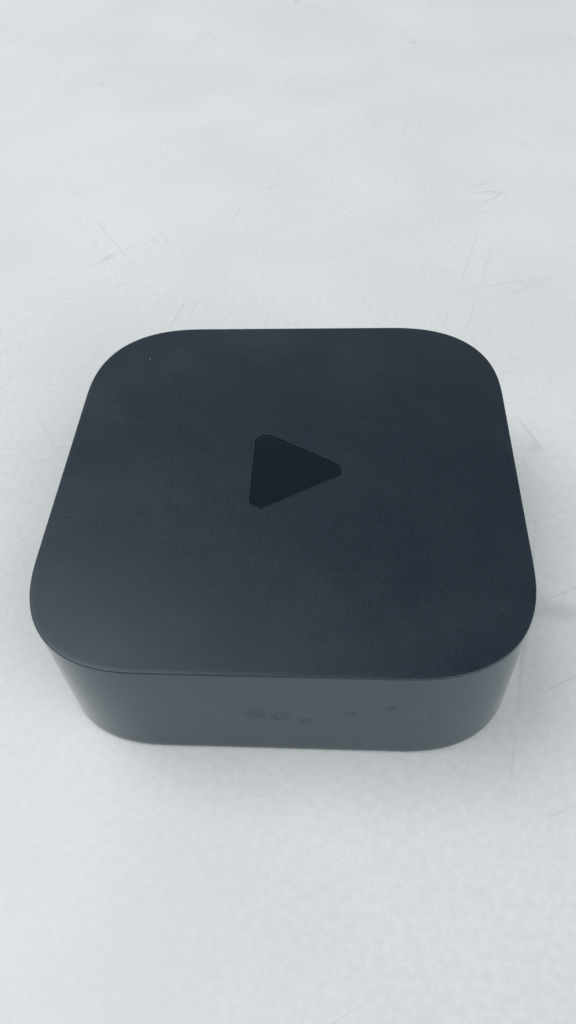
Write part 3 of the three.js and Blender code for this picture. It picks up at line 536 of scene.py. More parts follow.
@dataclass(frozen=True)
class SolderMask(Look):
    """A circuit board: satin mask over raised tracks, copper pours, plated holes with painted shade in their
    middles, and bare edges.
    """

    edge_top: float  # height of the board's upper face, in millimetres
    thickness: float

    def lay(self, r: Recipe) -> None:
        """Lays out the nodes.

        Args:
            r: The recipe that they go into.
        """
        tracks = self._tracks(r)
        pour = r.span(r.noise(9, 1, 0.4), 0.5, 0.52)
        covered = r.math("MAXIMUM", tracks, r.times(pour, 0.6))
        over_copper = tuple(min(1.0, c * 1.9 + 0.004) for c in self.colour)
        colour = r.blend(covered, self.colour, over_copper)
        spot = r.cells(2.3)
        ringed = r.span(spot, 0.10, 0.12, 1.0, 0.0)
        shaded_hole = r.span(spot, 0.045, 0.06, 1.0, 0.0)
        colour = r.blend(ringed, colour, (0.55, 0.40, 0.16))
        # the holes' middles painted near-black: painted shade inside them
        colour = r.blend(shaded_hole, colour, (0.01, 0.01, 0.01))
        side = self._side(r)
        threads = r.span(r.noise(0.6, 2, 0.5, (1, 1, 4)), 0.4, 0.6)
        weave = r.blend(threads, (0.24, 0.21, 0.10), (0.36, 0.32, 0.17))
        r.set(Base_Color=r.blend(side, colour, weave))
        satin = r.span(r.noise(4, 3, 0.6), 0.3, 0.7, 0.32, 0.46)
        r.set(Roughness=r.plus(satin, r.times(side, 0.3)))
        r.set(Metallic=r.times(ringed, r.minus(1.0, shaded_hole)))
        r.bump(covered, 0.035)
        r.bump(shaded_hole, -0.2)

    def _tracks(self, r: Recipe) -> Socket:
        """Bundles of fine lines that run along X in some patches and along Y in others.

        Args:
            r: The recipe that they go into.

        Returns:
            1 on a line and 0 off it.
        """
        regions = r.span(r.noise(13, 0, 0.5), 0.49, 0.51)
        lines = []
        for axis in ("X", "Y"):
            wobble = r.times(r.span(r.noise(7, 0, 0.5), 0.48, 0.52), 0.9 * MM)
            at = r.plus(r.axis(axis), wobble)
            saw = r.math("FRACT", r.times(at, 1 / (0.9 * MM)))
            lines.append(r.span(r.math("ABSOLUTE", r.minus(saw, 0.5)), 0.12, 0.16, 1.0, 0.0))
        chosen = r.blend(regions, lines[0], lines[1])
        routed = r.span(r.noise(5, 1, 0.5), 0.47, 0.49)
        return r.times(chosen, routed)

    def _side(self, r: Recipe) -> Socket:
        """1 on the board's cut edge and 0 on its faces.

        Args:
            r: The recipe that it goes into.

        Returns:
            The share's socket.
        """
        middle = (self.edge_top - self.thickness / 2) * MM
        away = r.math("ABSOLUTE", r.minus(r.axis("Z"), middle))
        return r.span(away, (self.thickness / 2 - 0.06) * MM, (self.thickness / 2 - 0.03) * MM, 1.0, 0.0)


@dataclass(frozen=True)
class Banded(Look):
    """A smooth coat such as enamel, tape or shrink sleeve, with faint bands across one axis."""

    rough: float = 0.35
    band: float = 0.6  # spacing in millimetres
    axis: Axis = Axis.Z
    depth: float = 0.03
    metal: float = 0.0

    def lay(self, r: Recipe) -> None:
        """Lays out the nodes.

        Args:
            r: The recipe that they go into.
        """
        at = r.times(r.axis(self.axis.value.upper()), 2 * math.pi / (self.band * MM))
        wave = r.plus(r.times(r.math("SINE", at), 0.5), 0.5)
        uneven = r.noise(3, 3, 0.6)
        turns = r.times(r.plus(wave, uneven), 0.5)
        colour = r.blend(turns, shade(self.colour, 0.7), shade(self.colour, 1.15))
        r.set(Base_Color=colour, Metallic=self.metal)
        r.set(Roughness=r.span(uneven, 0.3, 0.7, self.rough * 0.85, self.rough * 1.2), Coat_Weight=0.2)
        r.bump(wave, self.depth)


@dataclass(frozen=True)
class Clear(Look):
    """A dark or milky translucent plastic, as on a lens or a light guide."""

    rough: float = 0.08
    clear: float = 0.5

    def lay(self, r: Recipe) -> None:
        """Lays out the nodes.

        Args:
            r: The recipe that they go into.
        """
        cloudy = r.span(r.noise(0.8, 3, 0.6), 0.3, 0.7)
        r.set(Base_Color=r.blend(cloudy, self.colour, shade(self.colour, 0.8)))
        r.set(Roughness=r.span(r.noise(0.4, 2, 0.5), 0.3, 0.7, self.rough, self.rough + 0.06))
        r.set(Transmission_Weight=self.clear, IOR=1.5)
        r.bump(cloudy, 0.004, 0.5)


class Finish(Enum):
    """Every finish on the player, named as a maker would."""

    MATT_TOP = MattTop("matt_top", (0.0030, 0.0091, 0.0190), 0.38)
    GLOSS_WALL = GlossWall(
        "gloss_wall",
        (0.026, 0.0435, 0.0595),
        0.09,
        ((-3.8, 16.4, 3.2), (0.4, 15.2, 2.8), (5.2, 13.6, 2.8), (13.4, 17.4, 1.9), (20.4, 19.9, 1.6)),
    )
    INSIDE = Moulded("cover_inside", (0.020, 0.021, 0.023), 0.62, 0.3, 0.03)
    SIGN = SignInlay("sign_inlay", (0.003, 0.008, 0.013), 0.16)
    TRAY = Moulded("tray_plastic", (0.016, 0.017, 0.018), 0.6, 0.3, 0.03, 0.15, 0.3)
    RUBBER = Moulded("foot_rubber", (0.013, 0.013, 0.014), 0.85, 0.35, 0.05, 0.25, 0.5)
    SHEET = Moulded("insulating_sheet", (0.020, 0.021, 0.023), 0.34, 1.2, 0.02)
    GRAPHITE = Metal("graphite_sheet", (0.055, 0.057, 0.060), 0.45, (1, 1, 1), 2.5, 0.02)
    POWER_MASK = SolderMask("power_board_mask", (0.012, 0.085, 0.035), POWER_TOP, 1.6)
    LOGIC_MASK = SolderMask("logic_board_mask", (0.008, 0.024, 0.040), LOGIC_TOP, 1.2)
    STEEL = Metal("plated_steel", (0.62, 0.62, 0.63), 0.24, (1, 8, 1), 0.8)
    TIN = Metal("tinned_sheet", (0.66, 0.67, 0.68), 0.3, (0.2, 4, 1), 1.0, 0.004)
    SCREW = Metal("zinc_screw", (0.50, 0.50, 0.52), 0.28, (1, 1, 3), 0.5)
    BRASS = Metal("brass", (0.62, 0.43, 0.15), 0.25, (1, 1, 6), 0.6)
    GOLD = Metal("gold_plate", (0.83, 0.60, 0.22), 0.2)
    CAST = CastMetal("cast_heat_sink", (0.36, 0.37, 0.385))
    PLASTIC = Moulded("socket_plastic", (0.014, 0.014, 0.015), 0.42, 0.3, 0.012)
    CHIP = Moulded("chip_mould", (0.017, 0.017, 0.019), 0.5, 0.12, 0.012, 0.2)
    PRINT = Moulded("printed_dot", (0.30, 0.31, 0.32), 0.6, 0.1, 0.005)
    FERRITE = Moulded("ferrite", (0.030, 0.030, 0.032), 0.62, 0.2, 0.03, 0.3)
    TAPE = Banded("winding_tape", (0.62, 0.40, 0.03), 0.35, 1.6, Axis.Y, 0.05)
    ENAMEL = Banded("enamelled_wire", (0.50, 0.19, 0.06), 0.25, 0.5, Axis.X, 0.01, 0.7)
    STRIPE = Moulded("sleeve_stripe", (0.30, 0.36, 0.44), 0.35, 0.3, 0.004)
    SLEEVE = Banded("shrink_sleeve", (0.016, 0.026, 0.050), 0.3, 6.0, Axis.Z, 0.01)
    DISC = Moulded("dipped_disc", (0.030, 0.12, 0.34), 0.25, 1.4, 0.06)
    FILM = Moulded("film_case", (0.50, 0.34, 0.06), 0.35, 0.4, 0.015)
    PAD = Moulded("thermal_pad", (0.20, 0.26, 0.34), 0.8, 0.5, 0.04)
    LEAD = Banded("lead_jacket", (0.05, 0.05, 0.055), 0.5, 0.9, Axis.X, 0.02)
    BODY_TAN = Moulded("ceramic", (0.36, 0.25, 0.15), 0.4, 0.1, 0.01)
    DARK_LENS = Clear("dark_lens", (0.03, 0.02, 0.03), 0.05, 0.3)
    LIGHT_GUIDE = Clear("light_guide", (0.031, 0.048, 0.061), 0.09, 0.03)
    MILKY = Clear("milky_lens", (0.72, 0.72, 0.66), 0.2, 0.5)
    TABLE = TableTop("pale_table", (0.70, 0.735, 0.745))

    @property
    def material(self) -> Material:
        """The built material, made once."""
        return bpy.data.materials.get(self.value.name) or self.value.make()


# ---------------------------------------------------------------- shapes


def circle(radius: float, steps: int = 48) -> Ring:
    """Points on a circle, at angle 2 pi k / steps."""
    turn = np.arange(steps) * 2 * HALF_TURN / steps
    return radius * np.stack([np.cos(turn), np.sin(turn)], axis=1)


def soft_rectangle(width: float, depth: float, radius: float, steps: int = 6) -> Ring:
    """A rectangle with round corners: a quarter circle about each corner's centre.

    Args:
        width: Its size along the first axis.
        depth: Its size along the second.
        radius: The corners' radius.
        steps: How many points a corner has.

    Returns:
        The outline, anticlockwise.
    """
    radius = max(1e-3, min(radius, width / 2 - 1e-3, depth / 2 - 1e-3))
    turn = np.linspace(0, QUARTER_TURN, steps)
    corners = []
    for quarter, (sx, sy) in enumerate(((1, 1), (-1, 1), (-1, -1), (1, -1))):
        angle = turn + quarter * QUARTER_TURN
        centre = np.array([sx * (width / 2 - radius), sy * (depth / 2 - radius)])
        corners.append(centre + radius * np.stack([np.cos(angle), np.sin(angle)], axis=1))
    return np.concatenate(corners)


def soft_triangle(reach: float, radius: float, steps: int = 14) -> Ring:
    """A triangle with round corners that points along +X: arcs about three points at the same reach.

    Args:
        reach: How far the arcs' centres are from the middle.
        radius: The corners' radius.
        steps: How many points a corner has.

    Returns:
        The outline, anticlockwise.
    """
    arcs = []
    for third in range(3):
        toward = third * 2 * HALF_TURN / 3
        angle = toward + np.linspace(-HALF_TURN / 3, HALF_TURN / 3, steps)
        centre = reach * np.array([math.cos(toward), math.sin(toward)])
        arcs.append(centre + radius * np.stack([np.cos(angle), np.sin(angle)], axis=1))
    return np.concatenate(arcs)


def cast_rays(outline: Ring, angles: np.ndarray, snap: bool = False) -> Ring:
    """Points where rays from the origin at the given angles meet a star-shaped outline.

    On the side from P to Q, a ray in direction d meets it at the distance (P x Q) / (d x (Q - P)).

    Args:
        outline: The outline's points, anticlockwise about the origin.
        angles: The rays' angles.
        snap: Moves the nearest ray's point onto each sharp corner.

    Returns:
        One point for each ray.
    """
    turn = np.arctan2(outline[:, 1], outline[:, 0])
    order = np.argsort(turn)
    start, turn = outline[order], turn[order]
    end = np.roll(start, -1, axis=0)
    wrapped = (angles + HALF_TURN) % (2 * HALF_TURN) - HALF_TURN
    side = (np.searchsorted(turn, wrapped, side="right") - 1) % len(turn)
    p, q = start[side], end[side]
    ray = np.stack([np.cos(angles), np.sin(angles)], axis=1)
    across = p[:, 0] * q[:, 1] - p[:, 1] * q[:, 0]
    reach = across / (ray[:, 0] * (q - p)[:, 1] - ray[:, 1] * (q - p)[:, 0])
    points = ray * reach[:, None]
    if snap:
        before, after = start - np.roll(start, 1, axis=0), end - start
        bend = np.abs(before[:, 0] * after[:, 1] - before[:, 1] * after[:, 0])
        bend = bend / (np.linalg.norm(before, axis=1) * np.linalg.norm(after, axis=1) + 1e-9)
        corners = start[bend > 0.5]
        gap = np.linalg.norm(points[None] - corners[:, None], axis=2)
        points[gap.argmin(axis=1)] = corners
    return points


def arc_rise(inset: float, height: float, radius: float, foot: bool, steps: int = 4) -> Rise:
    """A quarter round of a profile, as (inset, height) pairs from the bottom up.

    At the foot the inset falls from the radius to nothing as sin grows; at the top it grows back.

    Args:
        inset: The wall's own inset.
        height: The height of the edge that is rounded.
        radius: The round's radius.
        foot: True for a lower edge, False for an upper one.
        steps: How many points it has.

    Returns:
        The pairs.
    """
    turn = np.linspace(0, QUARTER_TURN, steps)
    if foot:
        return list(zip(inset + radius * (1 - np.sin(turn)), height + radius * (1 - np.cos(turn))))
    return list(zip(inset + radius * (1 - np.cos(turn)), height - radius * (1 - np.sin(turn))))


def block_rise(low: float, high: float, radius: float) -> Rise:
    """The profile of an upright wall with its lower and upper edges rounded."""
    return [*arc_rise(0, low, radius, True), *arc_rise(0, high, radius, False)]


def held(rise: Rise, hold: float = 0.09) -> Rise:
    """Puts a point close to both ends of each long, plain stretch, so that its shading stays flat.

    Args:
        rise: The profile's pairs.
        hold: How far from the ends the new points are.

    Returns:
        The longer profile.
    """
    pairs = np.array(rise, float)
    step = np.diff(pairs, axis=0)
    length = np.linalg.norm(step, axis=1)
    out = [pairs[:1]]
    for index in range(len(step)):
        if length[index] > 5 * hold:
            share = hold / length[index]
            out.append(pairs[index] + step[index] * np.array([[share], [1 - share]]))
        out.append(pairs[index + 1 : index + 2])
    return np.concatenate(out).tolist()


@dataclass
class Surface:
    """Grids of quads that are welded into one mesh."""

    points: list[np.ndarray] = field(default_factory=list)
    quads: list[np.ndarray] = field(default_factory=list)
    slots: list[np.ndarray] = field(default_factory=list)
    count: int = 0

    def grid(
        self, points: Grid, slot: int = 0, wrap: bool = False, keep: np.ndarray | None = None
    ) -> "Surface":
        """Adds a sheet of quads between neighbouring rows and columns.

        Args:
            points: The grid's points.
            slot: Which of the piece's finishes it has.
            wrap: Whether the last column joins the first.
            keep: Which quads stay, as a (rows - 1, columns or columns - 1) mask.

        Returns:
            This surface.
        """
        rows, columns = points.shape[:2]
        index = self.count + np.arange(rows * columns).reshape(rows, columns)
        if wrap:
            index = np.concatenate([index, index[:, :1]], axis=1)
        quads = np.stack([index[:-1, :-1], index[:-1, 1:], index[1:, 1:], index[1:, :-1]], axis=-1)
        quads = quads[keep] if keep is not None else quads.reshape(-1, 4)
        self.points.append(points.reshape(-1, 3))
        self.quads.append(quads)
        self.slots.append(np.full(len(quads), slot))
        self.count += rows * columns
        return self

    def rings(self, rings: Grid, slot: int = 0, low_cap: bool = True, high_cap: bool = True) -> "Surface":
        """Adds a tube of closed rings and closes its ends.

        A closed end is drawn together to its middle, past a ring at 0.94 of its size that holds its edge.

        Args:
            rings: The rings, from one end to the other.
            slot: Which of the piece's finishes it has.
            low_cap: Whether the first end is closed.
            high_cap: Whether the last end is closed.

        Returns:
            This surface.
        """
        stack = [rings]
        if low_cap:
            middle = rings[:1].mean(axis=1, keepdims=True)
            stack = [middle + (rings[:1] - middle) * np.array([0.0, 0.94]).reshape(-1, 1, 1), rings]
        if high_cap:
            middle = rings[-1:].mean(axis=1, keepdims=True)
            stack.append(middle + (rings[-1:] - middle) * np.array([0.94, 0.0]).reshape(-1, 1, 1))
        return self.grid(np.concatenate(stack), slot, wrap=True)

    def loft(
        self,
        outline: Callable[[float], Ring],
        rise: Rise,
        at: Sequence[float] = (0, 0, 0),
        axis: Axis = Axis.Z,
        slot: int = 0,
    ) -> "Surface":
        """Adds a closed body: an outline that is drawn in by each inset while it rises to each height.

        Args:
            outline: Gives the plan outline for an inset.
            rise: The (inset, height) pairs.
            at: Where the body's local origin goes.
            axis: What its height runs along.
            slot: Which of the piece's finishes it has.

        Returns:
            This surface.
        """
        rings = [raised(outline(inset), height) for inset, height in held(rise)]
        return self.rings(turned_to(np.stack(rings), axis) + np.array(at), slot)

    def block(
        self,
        size: Sequence[float],
        at: Sequence[float],
        radius: float = 0.15,
        corner: float | None = None,
        slot: int = 0,
    ) -> "Surface":
        """Adds a block with rounded edges that stands on a point.

        Args:
            size: Its width, depth and height.
            at: The middle of its underside.
            radius: How round its lower and upper edges are.
            corner: How round its upright edges are, if it differs.
            slot: Which of the piece's finishes it has.

        Returns:
            This surface.
        """
        width, depth, height = size
        bend = radius if corner is None else corner
        radius = min(radius, height / 2.1, width / 2.1, depth / 2.1)

        def outline(inset: float) -> Ring:
            """The plan, drawn in evenly."""
            return soft_rectangle(width - 2 * inset, depth - 2 * inset, max(bend - inset, 0.02), 5)

        return self.loft(outline, block_rise(0, height, radius), at, slot=slot)

    def crumbs(self, size: np.ndarray, at: np.ndarray, slot: int) -> "Surface":
        """Adds many small blocks with bevelled edges at once, each of a few dozen faces.

        A block's section is an octagon. It is drawn in at the foot and the top by the bevel and closed there.

        Args:
            size: (n, 3) sizes.
            at: (n, 3) middles of the undersides.
            slot: Which of the piece's finishes they have.

        Returns:
            This surface.
        """
        bevel = 0.07
        corner = np.array([[1, 1], [-1, 1], [-1, -1], [1, -1]]).repeat(2, axis=0)
        cut = np.array([[0, 1], [1, 0], [1, 0], [0, 1], [0, 1], [1, 0], [1, 0], [0, 1]]) * -corner * bevel
        inset = np.array([0.5, bevel, 0, 0, bevel, 0.5])
        level = np.array([0, 0, bevel, -bevel, 0, 0])
        half = size[:, None, None, :2] / 2
        plan = corner * half + cut
        reach = np.where(inset[:, None] == 0.5, 0.0, 1 - inset[:, None] / half[:, 0])
        plan = plan * reach[:, :, None, :]
        height = (level + np.array([0, 0, 0, 1, 1, 1]) * size[:, 2:])[:, :, None, None]
        rings = np.concatenate([plan, np.broadcast_to(height, (*plan.shape[:3], 1))], axis=3)
        rings = rings + at[:, None, None, :]
        block, row, column = np.meshgrid(np.arange(len(size)), np.arange(5), np.arange(8), indexing="ij")
        nxt = (column + 1) % 8
        first = self.count + (block * 6 + row) * 8
        quads = np.stack([first + column, first + nxt, first + 8 + nxt, first + 8 + column], axis=-1)
        self.points.append(rings.reshape(-1, 3))
        self.quads.append(quads.reshape(-1, 4))
        self.slots.append(np.full(quads.size // 4, slot))
        self.count += rings.size // 3
        return self

    def turned(
        self,
        profile: Sequence[tuple[float, float]],
        at: Sequence[float],
        axis: Axis = Axis.Z,
        steps: int = 48,
        slot: int = 0,
    ) -> "Surface":
        """Adds a body of revolution: each (radius, height) pair becomes a circle.

        Args:
            profile: The (radius, height) pairs from the foot up.
            at: Where the foot's middle goes.
            axis: What its height runs along.
            steps: How many points a circle has.
            slot: Which of the piece's finishes it has.

        Returns:
            This surface.
        """
        outer = max(radius for radius, _ in profile)

        def outline(inset: float) -> Ring:
            """A circle, drawn in by the inset."""
            return circle(outer - inset, steps)

        return self.loft(outline, [(outer - radius, height) for radius, height in profile], at, axis, slot)

    def tube(self, path: np.ndarray, radius: float, sides: int = 10, slot: int = 0) -> "Surface":
        """Adds a round tube: a circle carried along a path, square to it at each point.

        The circle's first axis is square to the path and to a fixed up direction, and its second is
        square to both.

        Args:
            path: The path's (n, 3) points.
            radius: The tube's radius.
            sides: How many sides it has.
            slot: Which of the piece's finishes it has.

        Returns:
            This surface.
        """
        along = np.gradient(path, axis=0)
        along /= np.linalg.norm(along, axis=1, keepdims=True)
        up = np.array([0.05, 0.08, 1.0]) if np.abs(along[:, 2]).max() < 0.95 else np.array([0.2, 1.0, 0.1])
        first = np.cross(along, up)
        first /= np.linalg.norm(first, axis=1, keepdims=True)
        second = np.cross(along, first)
        plan = circle(radius, sides)
        rings = path[:, None] + plan[None, :, :1] * first[:, None] + plan[None, :, 1:] * second[:, None]
        return self.rings(rings, slot)

    def fit(self, name: str, slot: str, node: str, *finishes: Finish, body: str = BASE) -> None:
        """Builds the piece and mounts it in a node's place.

        Args:
            name: The piece's name.
            slot: Its material slot's name.
            node: The frame's node that it stands for.
            finishes: Its finishes, in slot order.
            body: The body that it rides on.
        """
        mount(self.build(name, *finishes), body, slot, node)

    def build(self, name: str, *finishes: Finish, crease: float = 32.0) -> bpy.types.Object:
        """Welds the grids, turns every face outwards and makes the object.

        Args:
            name: The piece's name.
            finishes: Its finishes, in slot order.
            crease: The angle in degrees past which an edge is sharp.

        Returns:
            The object, at the origin, with its place in its mesh.
        """
        loose = np.concatenate(self.points)
        cells = np.round(loose / WELD).astype(np.int64)
        _, first, same = np.unique(cells, axis=0, return_index=True, return_inverse=True)
        quads = same.reshape(-1)[np.concatenate(self.quads)]
        slots = np.concatenate(self.slots)
        faces, face_slots = without_doubles(quads, slots)
        mesh = bpy.data.meshes.new(name)
        mesh.from_pydata((loose[first] * MM).tolist(), [], faces)
        for finish in finishes:
            mesh.materials.append(finish.material)
        mesh.polygons.foreach_set("material_index", face_slots)
        mesh.polygons.foreach_set("use_smooth", np.ones(len(faces), bool))
        work = bmesh.new()
        work.from_mesh(mesh)
        bmesh.ops.recalc_face_normals(work, faces=work.faces)
        work.to_mesh(mesh)
        work.free()
        mesh.set_sharp_from_angle(angle=math.radians(crease))
        made = bpy.data.objects.new(name, mesh)
        bpy.context.scene.collection.objects.link(made)
        return made


def without_doubles(quads: np.ndarray, slots: np.ndarray) -> tuple[list[list[int]], np.ndarray]:
    """Turns each quad with one doubled corner into a triangle and drops those with more.

    Args:
        quads: (n, 4) point numbers.
        slots: The quads' finish numbers.

    Returns:
        The faces and their finish numbers.
    """
    double = quads == np.roll(quads, -1, axis=1)
    crossed = (quads[:, 0] == quads[:, 2]) | (quads[:, 1] == quads[:, 3])
    plain = ~double.any(axis=1) & ~crossed
    single = (double.sum(axis=1) == 1) & ~crossed
    corner = double[single].argmax(axis=1)
    picks = (corner[:, None] + np.arange(1, 4)[None]) % 4
    triangles = np.take_along_axis(quads[single], picks, axis=1)
    faces = quads[plain].tolist() + triangles.tolist()
    return faces, np.concatenate([slots[plain], slots[single]]).astype(np.int32)


def turned_to(points: np.ndarray, axis: Axis) -> np.ndarray:
    """Turns local points so that their height runs along an axis: +X, +Y or +Z.

    Args:
        points: Points with their height last.
        axis: The axis.

    Returns:
        The turned points.
    """
    if axis is Axis.Z:
        return points
    if axis is Axis.X:
        return points[..., [2, 0, 1]]
    return points[..., [1, 2, 0]]


@dataclass(frozen=True)
class Room:
    """The box that a frame node takes, in millimetres."""

    low: np.ndarray
    high: np.ndarray

    @classmethod
    def of(cls, node: str) -> "Room":
        """The room of a named node."""
        low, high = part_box(node)
        return cls(np.array(low) / MM, np.array(high) / MM)

    @property
    def size(self) -> np.ndarray:
        """Width, depth and height."""
        return self.high - self.low

    @property
    def centre(self) -> np.ndarray:
        """The middle."""
        return (self.high + self.low) / 2

    @property
    def foot(self) -> np.ndarray:
        """The middle of the underside."""
        return np.array([*self.centre[:2], self.low[2]])


def mount(piece: bpy.types.Object, body: str, slot: str, *nodes: str) -> None:
    """Fixes a finished piece to its body, in the place of the frame's nodes, and reports it.

    Args:
        piece: The piece.
        body: The body that it rides on.
        slot: Its material slot's name.
        nodes: The frame's nodes that it stands for.
    """
    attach(piece, body)
    if nodes:
        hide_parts(*nodes)
    faces = len(piece.data.polygons)
    log.info("%s rides on %s, %d faces, stands for %s", piece.name, body, faces, nodes or "detail")


# ---------------------------------------------------------------- the box's own outline


@dataclass(frozen=True)
class Footprint:
    """The box's plan: straight sides and soft superellipse corners."""

    width: float = 93.0
    depth: float = 93.0
    reach: float = 24.3
    power: float = 2.47
    straight_to: float = 30.0  # how far from the middle the front and rear are laid out by x
    corner_steps: int = 26

    def wall_y(self, x: np.ndarray | float, inset: float) -> np.ndarray:
        """y of the rear wall at x.

        It is the corner's centre plus (1 - s^p)^(1/p) of the reach, with s the share of the reach in x.

        Args:
            x: One x or many.
            inset: How far inside the cover's outside it lies.

        Returns:
            y at each x.
        """
        reach = self.reach - inset
        past = np.clip(np.abs(x) - (self.width / 2 - self.reach), 0, reach) / reach
        return self.depth / 2 - self.reach + reach * (1 - past**self.power) ** (1 / self.power)

    def _corner(self, inset: float) -> np.ndarray:
        """A corner from the end of the rear wall's span to the side: reach * (cos a, sin a)^(2/p).

        Args:
            inset: How far inside the cover's outside it lies.

        Returns:
            Its points, from the rear to the side.
        """
        reach = self.reach - inset
        offset = self.straight_to - (self.width / 2 - self.reach)
        first = math.acos((offset / reach) ** (self.power / 2))
        angle = np.linspace(first, 0, self.corner_steps)
        along = reach * np.stack([np.cos(angle), np.sin(angle)], axis=1) ** (2 / self.power)
        return along + np.array([self.width / 2 - self.reach, self.depth / 2 - self.reach])

    def ring(self, inset: float, rear: np.ndarray | None = None, front: np.ndarray | None = None) -> Ring:
        """The whole outline, anticlockwise from the rear's right end.

        Args:
            inset: How far inside the cover's outside it lies.
            rear: The rear wall's x values, rising.
            front: The front wall's x values, rising.

        Returns:
            Its points. The count depends only on the x lists, so rings of any inset join up.
        """
        plain = np.linspace(-self.straight_to, self.straight_to, 31)
        rear = plain if rear is None else rear
        front = plain if front is None else front
        back = np.stack([rear, self.wall_y(rear, inset)], axis=1)[::-1]
        fore = np.stack([front, -self.wall_y(front, inset)], axis=1)
        corner = self._corner(inset)[1:]
        side = np.linspace(1, -1, 9)[1:-1] * (self.depth / 2 - self.reach)
        left_side = np.stack([np.full(len(side), inset - self.width / 2), side], axis=1)
        left = np.concatenate([corner * [-1, 1], left_side, (corner * [-1, -1])[::-1]])
        right = np.concatenate([corner * [1, -1], left_side * [-1, -1], (corner * [1, 1])[::-1]])
        return np.concatenate([back, left, fore, right])


def raised(plan: Ring, height: float) -> np.ndarray:
    """A plan outline at one height."""
    return np.concatenate([plan, np.full((len(plan), 1), height)], axis=1)


FOOTPRINT = Footprint()


# ---------------------------------------------------------------- rear openings


@dataclass(frozen=True)
class Opening:
    """A shaped hole through a long wall, and the square patch of wall that is laid out round it."""

    outline: Ring  # about its own centre, in x and z as seen with +x to the right
    at: tuple[float, float]
    patch: tuple[float, float, float, float]  # x from, x to, z from, z to
    side: Side = Side.REAR


def figure_eight(grow: float = 0.0, lobe: float = 3.85, pitch: float = 8.6, waist: float = 2.7) -> Ring:
    """Two arcs about points half the pitch either side, joined by level lines at the waist's height.

    Args:
        grow: How much wider it is all round.
        lobe: The arcs' radius.
        pitch: How far apart their middles are.
        waist: The level lines' height.

    Returns:
        The outline, anticlockwise.
    """
    radius = lobe + grow
    turn = math.asin((waist + grow) / radius)
    angle = np.linspace(turn - HALF_TURN, HALF_TURN - turn, 40)
    right = radius * np.stack([np.cos(angle), np.sin(angle)], axis=1) + [pitch / 2, 0]
    return np.concatenate([right, -right])


def video_outline(inset: float = 0.0, width: float = 15.0, height: float = 6.0, cut: float = 1.5) -> Ring:
    """A flat oblong with its two lower corners cut off.

    Args:
        inset: How much narrower it is all round.
        width: Its width.
        height: Its height.
        cut: The cut corners' size.

    Returns:
        The outline, anticlockwise.
    """
    half_x, half_z = width / 2 - inset, height / 2 - inset
    upper = [[half_x, half_z], [-half_x, half_z], [-half_x, cut - half_z]]
    return np.array([*upper, [cut - half_x, -half_z], [half_x - cut, -half_z], [half_x, cut - half_z]])


def network_outline(grow: float = 0.0) -> Ring:
    """The network plug's oblong, with a narrower step below it for the latch.

    Args:
        grow: How much wider it is all round.

    Returns:
        The outline, anticlockwise.
    """
    wide, narrow = 5.95 + grow, 3.2 + grow
    top, shelf, bottom = 4.5 + grow, -2.5 - grow, -5.1 - grow
    left = [[-wide, top], [-wide, shelf], [-narrow, shelf], [-narrow, bottom]]
    return np.array([[wide, top], *left, [narrow, bottom], [narrow, shelf], [wide, shelf]])


def oblong(half_x: float, low: float, high: float) -> Ring:
    """A plain rectangle's four corners, from its upper right anticlockwise.

    Args:
        half_x: Half its width.
        low: Its lower side.
        high: Its upper side.

    Returns:
        The outline.
    """
    return np.array([[half_x, high], [-half_x, high], [-half_x, low], [half_x, low]])


